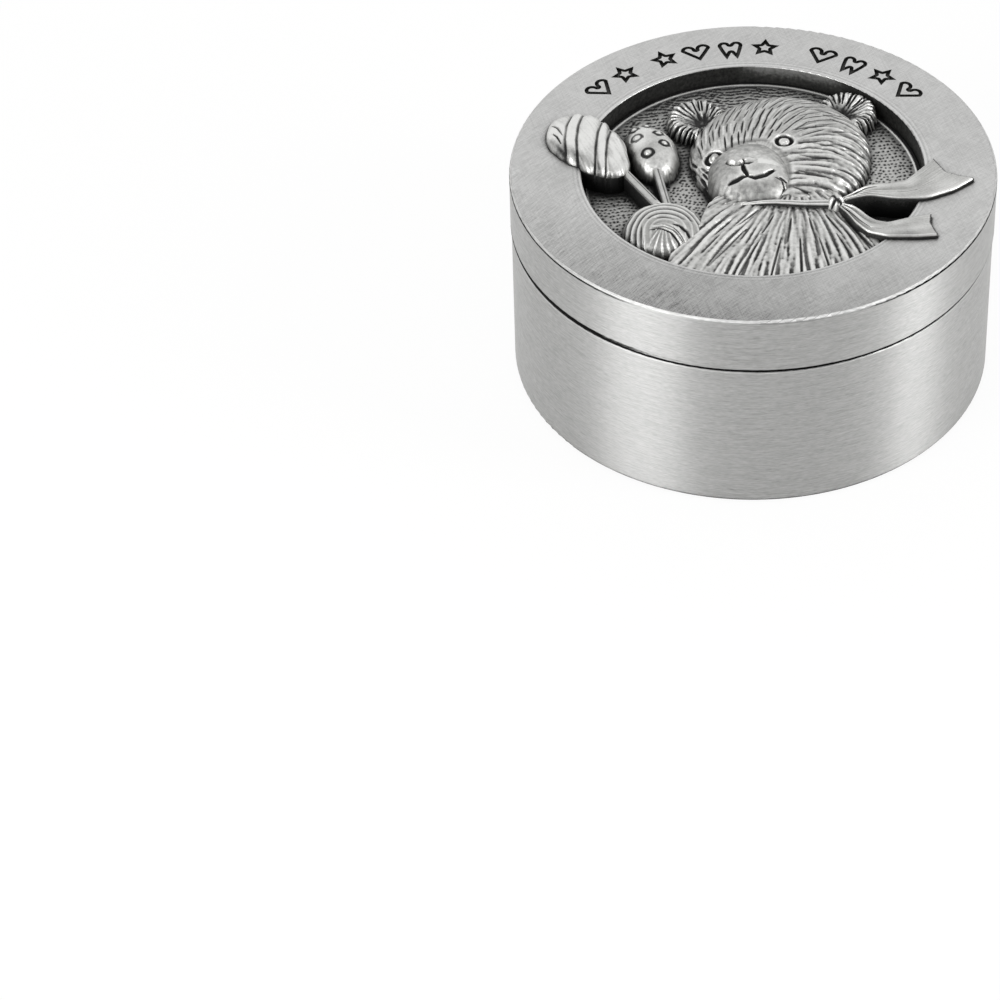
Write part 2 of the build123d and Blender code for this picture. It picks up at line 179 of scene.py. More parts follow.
def circle_path(count):
    """A closed path round a circle of radius one."""
    turns = np.linspace(0, 2 * math.pi, count)
    return np.column_stack([np.cos(turns), np.sin(turns)])


class Profile:
    """The section of a raised form, from its middle to its rim."""

    def __init__(self, radius, shares, heights):
        shares, heights = np.array(shares, float), np.array(heights, float)
        runs = np.hypot(np.diff(shares) * radius, np.diff(heights))
        way = np.concatenate([[0], np.cumsum(runs)])
        even = np.linspace(0, way[-1], 300)
        self.shares = np.interp(even, way, shares)
        self.heights = np.interp(even, way, heights)
        self.even = even / way[-1]
        steps = np.maximum(np.diff(self.shares) * radius, 0.5 * np.diff(even))
        self.spread = np.concatenate([[0], np.cumsum(steps)])

    def at(self, ring):
        """Share of the radius, height and carving distance from the middle, for rings from 0 to 1.
        The carving distance is the plan distance, except on steep sides, where it runs on."""
        return (np.interp(ring, self.even, drawn) for drawn in (self.shares, self.heights, self.spread))


def dome(radius, rise, plump_side, plump_top):
    """The profile of a pebble-like dome."""
    turn = np.linspace(0, np.pi / 2, 2000)
    return Profile(radius, np.sin(turn) ** (2 / plump_side), rise * np.cos(turn) ** (2 / plump_top))


def softened(radius, points, passes):
    """A profile drawn through a few points and rounded off."""
    points = np.array(points, float)
    place = np.linspace(0, len(points) - 1, 400)
    shares = np.interp(place, np.arange(len(points)), points[:, 0])
    heights = np.interp(place, np.arange(len(points)), points[:, 1])
    for _ in range(passes * 10):
        heights[1:-1] = (heights[:-2] + 2 * heights[1:-1] + heights[2:]) / 4
        shares[1:-1] = (shares[:-2] + 2 * shares[1:-1] + shares[2:]) / 4
        heights[0] = heights[1]
    return Profile(radius, shares, heights)


def outline_through(centre, points, passes):
    """The radius at each angle of a closed outline that passes near given points."""
    away = np.array(points, float) - np.array(centre, float)
    angles = np.degrees(np.arctan2(away[:, 1], away[:, 0])) % 360
    radii = np.hypot(away[:, 0], away[:, 1])
    order = np.argsort(angles)
    every = np.arange(360)
    drawn = np.interp(every, angles[order], radii[order], period=360)
    for _ in range(passes * 8):
        drawn = (np.roll(drawn, 1) + 2 * drawn + np.roll(drawn, -1)) / 4
    return lambda turn: np.interp(np.degrees(turn) % 360, every, drawn, period=360)


def circle(radius):
    """The outline of a round form."""
    return lambda turn: np.full(np.shape(turn), float(radius))


def through(points, count=200):
    """A smooth line through points, as a function of the way along it from 0 to 1."""
    points = np.array(points, float)
    runs = np.hypot(*np.diff(points, axis=0).T)
    way = np.concatenate([[0], np.cumsum(runs)]) / runs.sum()
    even = np.linspace(0, 1, count)
    x, y = (np.interp(even, way, points[:, axis]) for axis in (0, 1))
    for _ in range(count // 4):
        x[1:-1] = (x[:-2] + 2 * x[1:-1] + x[2:]) / 4
        y[1:-1] = (y[:-2] + 2 * y[1:-1] + y[2:]) / 4
    return lambda share: np.array([np.interp(share, even, x), np.interp(share, even, y)])


def disc_places(u, v):
    """The ring, from 0 in the middle to 1 at the rim, and the angle of each point of a square
    grid that is laid over a disc."""
    wide = np.abs(u) >= np.abs(v)
    reach = np.where(wide, u, v)
    safe = np.where(reach == 0, 1, reach)
    turn = np.where(wide, np.pi / 4 * v / safe, np.pi / 2 - np.pi / 4 * u / safe)
    return np.abs(reach), turn + np.pi * (reach < 0)


def level_foot(height):
    """The foot of a piece that stands on a level place."""
    return lambda x, y: np.full(len(x), height)


def stepped_foot(x, y):
    """The foot of a piece that rests on the ring, and on the ground where it hangs over the recess."""
    return np.where(np.hypot(x, y) > recess_radius, lid_top - sink, ground_top - sink)


castings = []


def cast(name, nodes, cells, surface, foot, carving=None, tone=0.0, bite=3.4, rub=None):
    """A cast piece: a fine grid laid over a form and carved, with its rim drawn down to its foot and closed
    underneath. The surface gives places and carving places for a grid's points. The tone is how bright the
    whole piece is, the bite how much its cuts show in it, and the rub its clouds, or on an ear its patina
    and painted shade."""
    bm = bmesh.new()
    bmesh.ops.create_grid(bm, x_segments=cells[0], y_segments=cells[1], size=1)
    for _ in ("lip", "foot"):
        rim = [edge for edge in bm.edges if edge.is_boundary]
        bmesh.ops.extrude_edge_only(bm, edges=rim)
    rim = [edge for edge in bm.edges if edge.is_boundary]
    closed = bmesh.ops.holes_fill(bm, edges=rim)
    bm.normal_update()
    for face in closed["faces"]:
        if face.normal.z > 0:
            face.normal_flip()
    piece = new_piece(name, bm)
    mesh = piece.data
    flat = np.zeros(len(mesh.vertices) * 3)
    mesh.vertices.foreach_get("co", flat)
    places, plan = surface(flat[0::3], flat[1::3])
    places = np.array(places).T
    skirt = np.arange(len(places)) >= (cells[0] + 1) * (cells[1] + 1)
    under = foot(places[skirt, 0], places[skirt, 1])
    low_ring = np.arange(len(under)) >= len(under) // 2
    places[skirt, 2] = np.where(low_ring, under, np.maximum(under, places[skirt, 2] - lip))
    mesh.vertices.foreach_set("co", (places * MM).ravel())
    mesh.update()
    fine = np.zeros(len(places))
    if carving is not None:
        normals = np.zeros(len(places) * 3)
        mesh.vertices.foreach_get("normal", normals)
        lift = picked(carving.heights, carving.reach, carving.step, *plan)
        broad = blurred(carving.heights, 0.35, carving.step)
        fine = bite * (lift - picked(broad, carving.reach, carving.step, *plan))
        fine = fine + picked(carving.tones, carving.reach, carving.step, *plan)
        lift = np.where(skirt, 0, lift)
        places = places + normals.reshape(-1, 3) * lift[:, None]
        mesh.vertices.foreach_set("co", (places * MM).ravel())
        mesh.update()
    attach(piece, "lid")
    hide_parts(*nodes)
    shade = tone + fine + (rub(*plan) if rub else 0)
    castings.append({"piece": piece, "places": places, "shade": shade, "skirt": skirt})
    return piece


def new_piece(name, bm):
    """An object in the scene from a bmesh, shaded smooth."""
    mesh = bpy.data.meshes.new(name)
    bm.to_mesh(mesh)
    bm.free()
    mesh.polygons.foreach_set("use_smooth", np.ones(len(mesh.polygons), bool))
    piece = bpy.data.objects.new(name, mesh)
    bpy.context.scene.collection.objects.link(piece)
    return piece


def raised_form(name, nodes, centre, outline, profile, base, cells, carving=None, foot=None, **more):
    """A cast piece whose plan is one closed outline round a centre."""
    mean = float(np.mean(outline(np.radians(np.arange(360)))))

    def surface(u, v):
        ring, turn = disc_places(u, v)
        share, height, way = profile.at(ring)
        radius = outline(turn)
        x = centre[0] + share * radius * np.cos(turn)
        y = centre[1] + share * radius * np.sin(turn)
        spread = way * radius / mean
        return (x, y, base + height), (spread * np.cos(turn), spread * np.sin(turn))

    return cast(name, nodes, (cells, cells), surface, foot or level_foot(base - sink), carving, **more)


def joined_castings(made, name, node):
    """Several cast pieces made one."""
    rows = [row for row in castings if row["piece"] in made]
    for row in rows:
        castings.remove(row)
    first = made[0]
    bm = bmesh.new()
    for piece in made:
        bm.from_mesh(piece.data)
    bm.to_mesh(first.data)
    bm.free()
    for piece in made[1:]:
        bpy.data.objects.remove(piece)
    first.name = name
    first.data.name = name
    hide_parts(node)
    together = {key: np.concatenate([row[key] for row in rows]) for key in ("places", "shade", "skirt")}
    castings.append({"piece": first, **together})


def mottle(size, strength, reach=8.0, step=0.1):
    """Soft clouds of rubbing over a piece, as a function of its carving places."""
    count = int(2 * reach / step) + 1
    clouds = blurred(chance.normal(size=(count, count)), size, step)
    clouds = strength * clouds / clouds.std()
    return lambda x, y: picked(clouds, reach, step, x, y)


def fan_grooves(carving, fans, centre, width, depth):
    """Grooves in rows that fan out from a focus: its place, the row's first and last turn in
    degrees, how many there are, and how far from the focus they start and end. All lengths of a
    fan are shares of the recess's radius."""
    for focus, (first, last), count, (near, far) in fans:
        for turn in np.linspace(first, last, count):
            ahead = turned_by(turn)
            start = recess_radius * (np.array(focus) + near * ahead) - centre
            end = start + recess_radius * (far - near) * ahead
            carving.cut([start, (start + end) / 2, end], width, depth, dark=0.1)


# Bear's head: fur that runs outwards from the muzzle
head_centre = np.array([2.54, 3.96])
head_outline = (
    (90, 8.1), (60, 8.19), (41, 8.25), (24, 8.4), (4, 8.35), (-13, 8.5), (-30, 8.85), (-45, 8.9),
    (-75, 9.2), (-100, 9.2), (-146, 8.9), (-155, 8.8), (190, 8.55), (176, 8.35), (161, 8.2), (151, 8.1),
    (132, 8.0), (111, 7.95),
)
muzzle_centre = np.array([-0.33, -0.63])
muzzle_points = (
    (-4.1, 0.5), (-3.35, 1.6), (-2.1, 2.85), (-0.3, 3.5), (1.3, 3.4), (2.5, 2.4), (3.45, 0.9), (3.9, -0.9),
    (3.9, -2.4), (3.3, -3.7), (2.4, -4.7), (0.0, -5.1), (-2.2, -4.7), (-3.5, -3.4), (-4.15, -1.4),
)
muzzle_outline = outline_through(muzzle_centre, muzzle_points, passes=3)
eye_centres = np.array([[2.88, 2.8], [-3.5, 1.0]])
# Which way the head's fur lies: places on the plan, and the direction there in degrees
head_comb = (
    (-1.6, 4.6, 92), (-2.3, 3.6, 96), (-1.0, 4.9, 84), (-0.4, 3.9, 87), (0.4, 4.2, 83), (1.4, 3.7, 67),
    (-0.1, 7.4, 75), (0.6, 7.0, 75), (1.6, 5.6, 68), (-1.8, 7.6, 71), (-3.2, 6.9, 75), (-4.5, 5.0, 90),
    (-4.0, 4.2, 93), (-4.9, 3.0, 102), (-4.6, 1.1, 115), (-5.5, 3.1, 98), (-5.2, 0.6, 111), (-4.5, 0.5, 130),
    (1.9, 6.0, 69), (4.1, 7.0, 56), (3.6, 5.0, 51), (4.1, 4.3, 49), (5.5, 4.4, 29), (5.7, 7.6, 30),
    (6.8, 6.9, 19), (6.9, 8.5, -13), (7.9, 8.0, -28), (9.0, 5.9, -28), (8.1, 4.7, -8), (6.8, 3.8, 3),
    (5.8, 2.8, 0), (4.3, 1.7, 14), (4.3, 0.8, 3), (8.4, 1.7, -19), (5.9, 0.2, 2), (8.2, -0.3, -8),
    (5.0, -1.5, 4), (9.2, 0.4, -22), (5.2, -3.0, 2), (9.9, 2.8, -26), (7.7, -2.2, -6), (9.0, -1.6, -18),
)
head_fans = (
    ((-0.55, 0.05), (-17.0, 17.0), 5, (0.82, 1.02)),
    ((-0.55, 0.05), (-13.0, 23.0), 5, (1.04, 1.25)),
)
# Turns about the muzzle, in degrees: where the forehead ends at the right, and at the left
right_brow, left_brow = 60, 150


def combing(comb, centre, reach, step=0.25):
    """A field of directions in degrees that is led by a few strokes, as a function of places from
    a centre."""
    side = np.arange(-reach, reach + step, step)
    x, y = np.meshgrid(side + centre[0], side + centre[1])
    across, up = np.zeros_like(x), np.zeros_like(x)
    for place_x, place_y, turn in comb:
        weight = (0.3 + (x - place_x) ** 2 + (y - place_y) ** 2) ** -1.5
        across += weight * math.cos(math.radians(turn))
        up += weight * math.sin(math.radians(turn))
    turns = np.degrees(np.arctan2(up, across))
    return lambda px, py: picked(turns, reach, step, px, py)


head_flow = combing(head_comb, head_centre, 12.0)


def fur_wedges(carving):
    """Staggered rows of wedge-shaped cuts round the muzzle, over the forehead and down the left.
    Those at the left are short, wide and dark, and those at the right long and fine."""
    eyes = eye_centres - head_centre
    rows = [(beyond, 40, left_brow) for beyond in (0.4, 2.0, 3.6, 5.2, 6.8, 8.4)]
    rows += [(beyond, left_brow, 238) for beyond in (0.3, 1.2, 2.1, 3.0, 3.9, 4.8)]
    for index, (beyond, first, last) in enumerate(rows):
        gap = math.degrees((0.7 if first < left_brow else 0.55) / (4.0 + beyond))
        for turn in np.arange(first + 0.5 * gap * (index % 2), last, gap):
            right, left, by_muzzle = turn < right_brow, turn > left_brow, index == 0
            reach = float(muzzle_outline(math.radians(turn))) + beyond + chance.uniform(-0.3, 0.3)
            ahead = turned_by(turn + chance.uniform(-0.1, 0.1) * gap)
            middle = muzzle_centre - head_centre + reach * ahead
            if min(np.hypot(*(middle - eye)) for eye in eyes) < (1.6 if turn < left_brow else 1.1):
                continue
            half = chance.uniform(0.75, 1.15) * (1.35 if right else 1) * (0.75 if left else 1)
            wide = chance.uniform(0.15, 0.22) * (0.75 if right else 1) * (1.2 if by_muzzle else 1)
            wide *= 1.4 if left else 1
            lean = chance.uniform(-4, 4)
            before = middle - half * turned_by(float(head_flow(*middle)) + lean)
            after = middle + half * turned_by(float(head_flow(*(middle + half * turned_by(90)))) + lean)
            dark = chance.uniform(0.2, 0.36) + (0.1 if by_muzzle else 0) + (0.2 if left else 0)
            carving.cut([before, middle, after], wide, 0.6 * wide, blunt=0.8, dark=dark)


def carve_head():
    """Long combed ridges on the cheeks, wedge-shaped cuts among fine hairs on the forehead and at
    the left, a soft dip round the muzzle and a groove round each eye."""
    carving = Carving(11.0)
    x = carving.x + head_centre[0] - muzzle_centre[0]
    y = carving.y + head_centre[1] - muzzle_centre[1]
    turn = (np.degrees(np.arctan2(y, x)) + 75) % 360 - 75
    brow = smooth_step(26, 52, turn) * (1 - 0.8 * smooth_step(140, 156, turn))
    long_ridges = carving.fur(head_flow, long=5.0, fine=0.62, height=0.1, groove=0.05)
    fine_ridges = carving.fur(head_flow, long=3.0, fine=0.34, height=0.03, groove=0.02)
    sweep = carving.combed(head_flow, long=4.0, fine=0.5)
    hairs = carving.combed(head_flow, long=3.0, fine=0.26)
    rim = smooth_step(5.6, 8.4, carving.x)
    left_side = smooth_step(146, 166, turn)
    ridges = long_ridges * (1 - 0.5 * rim) * (1 - 0.6 * left_side)
    ridges = ridges + fine_ridges * (1 + 0.9 * rim + left_side)
    carving.heights = (1 - brow) * ridges + brow * 0.02 * sweep + 0.01 * hairs
    # The forehead is a little brighter, and the right rim darker with painted shade
    carving.tones += 0.04 * brow * hairs + 0.08 + 0.08 * brow - 0.16 * rim
    # How far a place lies outside the line where the muzzle comes out of the fur
    outside = np.hypot(x, y) - 0.88 * muzzle_outline(np.arctan2(y, x))
    carving.heights *= 0.15 + 0.85 * smooth_step(0.0, 0.3, outside)
    fan_grooves(carving, head_fans, head_centre, width=0.34, depth=0.14)
    fur_wedges(carving)
    ring = circle_path(25)
    for centre in eye_centres - head_centre:
        carving.heights *= smooth_step(0.9, 1.3, np.hypot(carving.x - centre[0], carving.y - centre[1]))
        carving.raise_ridge(centre + 0.98 * ring, width=0.2, height=0.12, blunt=0.0)
        carving.cut(centre + 0.68 * ring, width=0.42, depth=0.36, blunt=0.0, dark=0.7)
    carving.heights -= 0.14 * (1 - smooth_step(-0.1, 0.4, outside))
    carving.tones -= 0.05 * np.exp(-(outside / 0.22) ** 2)
    return carving


def bear_head():
    """The head in relief."""
    points = [head_centre + radius * turned_by(turn) for turn, radius in head_outline]
    outline = outline_through(head_centre, points, passes=2)
    profile = dome(8.4, rise=2.9, plump_side=2.8, plump_top=2.3)
    carving = carve_head()
    raised_form("bear_head_cast", ["bear_head"], head_centre, outline, profile, ground_top, 250, carving)


# Muzzle, nose and eyes
nose_centre = np.array([-1.55, -0.95])
nose_points = (
    (-2.35, -1.0), (-2.1, -0.62), (-1.5, -0.5), (-0.95, -0.7), (-0.8, -1.1), (-1.2, -1.4), (-1.9, -1.4),
)
mouth_lines = (
    ((-0.92, -1.3), (-0.8, -2.0), (-0.4, -2.85)),
    ((-0.43, -2.85), (0.25, -3.05), (1.1, -2.7), (1.95, -1.95)),
    ((-0.43, -2.85), (-0.9, -2.95), (-1.4, -3.3), (-2.1, -3.55)),
)
# Soft swellings of the muzzle: place, half widths, height, and how much painted highlight, or painted shade
# where it is below zero, lies on it
muzzle_swellings_and_painted_light = (
    ((1.1, -1.2), (1.5, 1.0), 0.17, 0.26),
    ((0.5, -4.0), (1.3, 0.6), 0.1, -0.14),
    ((-2.4, -2.6), (1.0, 1.1), 0.12, -0.06),
    ((-0.3, 0.2), (0.9, 0.5), 0.04, 0.1),
    ((2.6, -3.3), (0.6, 1.1), 0.05, -0.12),
    ((-1.4, -4.5), (0.9, 0.4), 0.0, -0.05),
    ((0.1, -2.42), (0.35, 0.25), 0.06, 0.16),
    ((0.4, 2.2), (2.4, 1.0), 0.0, -0.1),
    ((3.2, 0.2), (0.9, 1.6), 0.0, -0.14),
    ((-3.2, -0.8), (0.9, 2.0), 0.0, -0.14),
    ((-2.0, -4.1), (1.3, 0.8), 0.0, -0.16),
)


def bear_muzzle():
    """The smooth muzzle with its mouth."""
    carving = Carving(7.0)
    here = muzzle_centre
    x, y = carving.x + here[0], carving.y + here[1]
    wear = carving.grain(0.1)
    carving.heights = 0.008 * wear
    for (cx, cy), (wide, tall), height, tone in muzzle_swellings_and_painted_light:
        bump = np.exp(-(((x - cx) / wide) ** 2 + ((y - cy) / tall) ** 2))
        carving.heights += height * bump
        # Each swelling's tone is a painted highlight, or painted shade where it is below zero
        carving.tones += tone * bump
    carving.tones += 0.02 * wear * smooth_step(0.3, 2.4, np.hypot(x - 0.9, 1.3 * (y + 1.5)))
    bridge = np.array([(-0.95, -0.7), (-0.3, -0.62), (0.25, -0.8)])
    carving.raise_ridge(bridge - here, width=0.46, height=0.2, blunt=0.5)
    nostril = np.array([(-0.85, -1.2), (-0.4, -1.2), (0.0, -1.1)])
    carving.cut(nostril - here, width=0.42, depth=0.16, dark=0.4)
    nose = np.array(nose_points + nose_points[:1]) - here
    carving.cut(nose, width=0.36, depth=0.12, blunt=0.0, dark=0.3)
    for line in mouth_lines:
        carving.cut(np.array(line) - here, width=0.56, depth=0.3, blunt=0.4, dark=0.36)
    curl = np.array([(2.5, -2.6), (3.1, -2.75), (3.35, -3.3), (3.1, -4.1), (2.5, -4.9)]) - here
    carving.cut(curl, width=0.3, depth=0.16, blunt=0.3, dark=0.45)
    carving.cut(curl + np.array([-0.42, -0.1]), width=0.22, depth=0.1, blunt=0.4, dark=0.3)
    profile = dome(4.2, rise=3.3, plump_side=2.9, plump_top=2.9)
    raised_form(
        "bear_muzzle_cast", ["bear_muzzle"], here, muzzle_outline, profile, ground_top, 170, carving,
        tone=0.02, rub=mottle(0.5, 0.015),
    )


def bear_nose():
    """A small button nose."""
    outline = outline_through(nose_centre, nose_points, passes=1)
    profile = dome(0.75, rise=0.8, plump_side=2.8, plump_top=2.6)
    raised_form("bear_nose_cast", ["bear_nose"], nose_centre, outline, profile, 22.45, 40, tone=0.12)


def bear_eyes():
    """Two bead eyes, set in the head's grooves."""
    made = []
    for place, base, tone in zip(eye_centres, (21.8, 21.35), (0.22, 0.02)):
        profile = dome(0.46, rise=0.74, plump_side=2.2, plump_top=2.0)
        made.append(raised_form(f"bead_{len(made)}", [], place, circle(0.46), profile, base, 28, tone=tone))
    joined_castings(made, "bear_eyes_cast", "bear_eyes")


# Ears
ear_radius = 2.85
ear_ridges = 34
ear_section = ((0, 1.45), (0.4, 1.5), (0.7, 1.7), (0.86, 1.5), (0.97, 0.9), (1.0, 0.0))


def bear_ear(name, node, centre, hollow):
    """A round ear with a shallow hollow and a fringe of short ridges round its rim."""
    centre, hollow = np.array(centre), np.array(hollow)

    def from_hollow(px, py):
        return px - hollow[0], py - hollow[1]

    def outward(px, py):
        across, up = from_hollow(px, py)
        return np.degrees(np.arctan2(up, across))

    # Patina and painted shade in the ear's hollow
    def patina_and_painted_shade(px, py):
        across, up = from_hollow(px, py)
        return -0.36 * np.exp(-((across ** 2 + up ** 2) / 3.0))

    carving = Carving(5.2)
    x, y = from_hollow(carving.x, carving.y)
    carving.heights = 0.045 * carving.combed(outward, long=1.6, fine=0.36)
    carving.heights -= 0.42 * np.exp(-((x ** 2 + y ** 2) / 1.9) ** 1.5)
    to_head = (head_centre - centre) / np.linalg.norm(head_centre - centre)
    carving.heights -= 1.0 * smooth_step(0.2, 2.6, x * to_head[0] + y * to_head[1])
    for index in range(ear_ridges):
        away = turned_by(360 * (index + chance.uniform(-0.28, 0.28)) / ear_ridges)
        if away @ to_head > 0.5:
            continue
        start = hollow + chance.uniform(1.0, 2.1) * away
        edge = hollow + 5.2 * away
        middle = 0.5 * (start + edge) + chance.uniform(-0.14, 0.14, size=2)
        width, depth = chance.uniform(0.2, 0.34), chance.uniform(0.2, 0.34)
        carving.cut([start, middle, edge], width, depth, blunt=0.3, dark=0.15)
    scallop = chance.uniform(-0.03, 0.03, size=ear_ridges)
    notches = np.linspace(0, 2 * np.pi, ear_ridges)

    def outline(turn):
        return ear_radius * (1 + np.interp(turn % (2 * np.pi), notches, scallop))

    profile = softened(ear_radius, ear_section, passes=20)
    raised_form(name, [node], centre, outline, profile, ground_top, 140, carving, tone=-0.05, rub=patina_and_painted_shade)


# Body: fur that fans down from the neck
body_centre = np.array([2.85, -8.7])
body_corners = (
    (-3.2, -3.6), (-4.7, -8.2), (-7.6, -15.6), (0.0, -17.2), (9.2, -15.2), (12.2, -10.0), (9.6, -7.2),
    (8.2, -3.6),
)
body_section = ((0, 1.8), (0.4, 1.78), (0.7, 1.7), (0.9, 1.62), (0.985, 1.5), (1.0, 1.2), (1.0, 0.0))
body_fans = (
    ((0.27, -0.04), (-128.0, -46.0), 6, (0.41, 0.64)),
    ((0.27, -0.04), (-122.0, -54.0), 7, (0.62, 1.08)),
)
neck_focus = np.array([4.3, -0.6])


def body_outline(turn):
    """The body's outline: its drawn sides, cut off by the recess's wall."""
    drawn = outline_through(body_centre, body_corners, passes=3)(turn)
    inward = body_centre[0] * np.cos(turn) + body_centre[1] * np.sin(turn)
    wall = -inward + np.sqrt(inward ** 2 - body_centre @ body_centre + ground_radius ** 2)
    return np.minimum(drawn, wall)


def body_flow(x, y):
    """The direction of the chest's fur at places from its centre, in degrees."""
    across = x + body_centre[0] - neck_focus[0]
    up = y + body_centre[1] - neck_focus[1]
    away = np.hypot(across, up).clip(0.1)
    return np.degrees(np.arctan2(up / away - 0.28, across / away))


def bear_body():
    """The chest, cut off by the edge of the recess: bold combed ridges of fur that fan out from the
    neck, boldest at the bottom."""
    carving = Carving(13.0)
    x, y = carving.x + body_centre[0], carving.y + body_centre[1]
    bold = smooth_step(4, 12, np.hypot(x - neck_focus[0], y - neck_focus[1]))
    upper = carving.fur(body_flow, long=3.4, fine=0.46, height=0.06, groove=0.05)
    lower = carving.fur(body_flow, long=8.0, fine=0.62, height=0.1, groove=0.08)
    carving.heights = upper * (1 - bold) + lower * bold
    carving.heights += 0.007 * carving.combed(body_flow, long=5.0, fine=0.25)
    fan_grooves(carving, body_fans, body_centre, width=0.36, depth=0.16)
    carving.tones += 0.05
    profile = softened(9.0, body_section, passes=6)
    raised_form(
        "bear_body_cast", ["bear_body"], body_centre, body_outline, profile, ground_top, 270, carving,
    )


# Paw that holds the rattles
paw_centre = np.array([-7.93, -8.32])
finger_points = ((-1.0, -1.1), (0.0, -0.95), (0.9, -1.4), (1.6, -2.2), (2.2, -3.2))
fold_points = ((0.8, -0.75), (1.5, -0.95), (2.1, -1.5), (2.5, -2.2))


def paw_flow(x, y):
    """The direction round the paw's fold, in degrees."""
    return np.degrees(np.arctan2(y + 1.6, x - 0.1)) + 90


def bear_paw():
    """The paw: nested arcs of fur over it, and a finger folded over the handles."""
    carving = Carving(6.4)
    x, y = carving.x, carving.y
    wander = carving.grain(0.7)
    above, below = np.maximum(y + 1.6, 0), np.minimum(y + 1.6, 0)
    from_fold = np.hypot(x - 0.1, 0.86 * above + 0.16 * below)
    rows = from_fold / 0.62 + 0.1 * wander
    outer = smooth_step(0.8, 1.15, from_fold + 0.35 * below)
    fan = np.arctan2(x + 0.1, -(y + 0.9))
    strands = 0.13 * np.cos(2 * np.pi * fan / 0.27 + 0.8 * wander) * smooth_step(0.1, 0.7, -(y + 0.9))
    carving.heights = outer * 0.1 * np.cos(2 * np.pi * rows) + (1 - outer) * strands - 0.02
    carving.heights += 0.01 * carving.combed(paw_flow, long=2.0, fine=0.25)
    carving.tones += 0.04
    finger = through(finger_points)(np.linspace(0, 1, 16)).T
    carving.raise_ridge(finger, width=1.0, height=0.13)
    for step in (-0.2, 0.1):
        carving.cut(finger + [0, step], width=0.16, depth=0.07, dark=0.1)
    carving.cut(finger - [0.3, 0.42], width=0.26, depth=0.12, dark=0.22)
    carving.cut(through(fold_points)(np.linspace(0, 1, 12)).T, width=0.46, depth=0.2, dark=0.22)
    profile = dome(3.76, rise=2.3, plump_side=2.8, plump_top=2.4)
    raised_form("bear_paw_cast", ["bear_paw"], paw_centre, circle(3.76), profile, ground_top, 150, carving)


# Rattles
handle_width = 0.79
striped_centre = np.array([-15.3, 2.6])
striped_points = (
    (-19.25, 4.1), (-18.9, 6.0), (-17.6, 7.1), (-16.1, 7.4), (-15.1, 7.1), (-14.0, 6.2), (-13.1, 4.9),
    (-12.3, 3.6), (-11.6, 1.6), (-11.3, -0.3), (-11.7, -1.3), (-12.8, -1.9), (-14.6, -1.4), (-16.4, -0.1),
    (-18.2, 1.6), (-19.0, 2.8),
)
stripe_lines = (
    ((-17.2, 7.4), (-17.75, 5.0), (-17.85, 2.6), (-17.6, 0.4)),
    ((-16.0, 7.8), (-16.45, 5.0), (-16.55, 2.4), (-16.3, -1.0)),
    ((-13.8, 6.6), (-14.25, 3.8), (-14.4, 1.0), (-14.4, -2.6)),
    ((-12.8, 5.0), (-13.15, 2.6), (-13.25, 0.2), (-13.2, -3.0)),
)
striped_folds = (((-19.3, 5.4), (-18.7, 4.7), (-18.1, 3.3)), ((-19.2, 3.9), (-18.7, 3.2), (-18.2, 2.0)))
band_edges = (-20.3, -17.8, -16.5, -14.35, -13.2, -10.8)
spotted_centre = np.array([-9.35, 2.69])
spotted_points = (
    (-12.0, 5.4), (-11.7, 6.9), (-10.6, 7.6), (-8.9, 6.8), (-7.6, 5.4), (-7.0, 3.4), (-6.9, 1.6),
    (-7.3, 0.1), (-8.3, -0.7), (-9.5, -0.5), (-10.6, 0.4), (-11.4, 2.1), (-11.8, 3.6),
)
# Place and radius of each ring spot
spots = (
    (-11.3, 5.9, 0.46), (-10.95, 4.1, 0.52), (-8.75, 5.0, 0.46), (-8.1, 3.2, 0.46), (-9.75, 1.5, 0.56),
    (-10.0, 6.6, 0.4),
)


def handle(name, start, end, top):
    """A round handle that lies on the ground."""
    start, end = np.array(start, float), np.array(end, float)
    long = np.hypot(*(end - start))
    ahead = (end - start) / long
    aside = np.array([-ahead[1], ahead[0]])
    carving = Carving(3.4)
    carving.cut([(-3.2, 0.1), (3.2, 0.1)], width=0.16, depth=0.09, blunt=0.0, dark=0.2)

    def surface(u, v):
        way = (u + 1) / 2 * long
        turn = v * np.pi / 2
        across = np.sin(turn) * handle_width / 2
        x = start[0] + ahead[0] * way + aside[0] * across
        y = start[1] + ahead[1] * way + aside[1] * across
        z = top - handle_width / 2 + np.cos(turn) * handle_width / 2
        return (x, y, z), (way - long / 2, v * handle_width * 0.78)

    return cast(name, [], (90, 16), surface, level_foot(ground_top - sink), carving, tone=0.08)


def carve_striped():
    """Rounded bands with a curved groove between each two, and fine lines along the rattle."""
    carving = Carving(6.6)
    x, y = carving.x + striped_centre[0], carving.y + striped_centre[1]
    bow = 0.02 * (y - 2.5) ** 2
    place = np.interp(x - bow, band_edges, np.arange(len(band_edges)))
    carving.heights = 0.2 * np.sin(np.pi * (place % 1)) ** 0.8 - 0.1
    lines = carving.combed(one_way(-62), long=2.4, fine=0.28)
    carving.heights += 0.005 * lines
    cone = smooth_step(-13.2, -12.6, x)
    ribs = carving.combed(one_way(-66), long=4.0, fine=0.5)
    carving.heights += 0.02 * cone * ribs
    low_side = 1 - smooth_step(-0.2, 1.0, (y - 1.6 + 0.83 * (x + 18.2)) / 1.3)
    carving.heights += 0.006 * low_side * ribs
    # The low side is darkened with painted shade, with a little tone from the ribs
    carving.tones = 0.02 * lines - 0.34 * low_side + 0.05 * low_side * ribs
    for line in stripe_lines:
        carving.cut(np.array(line) - striped_centre, width=0.34, depth=0.17, blunt=0.15, dark=0.06)
    for fold in striped_folds:
        carving.cut(np.array(fold) - striped_centre, width=0.26, depth=0.14, dark=0.2)
    return carving


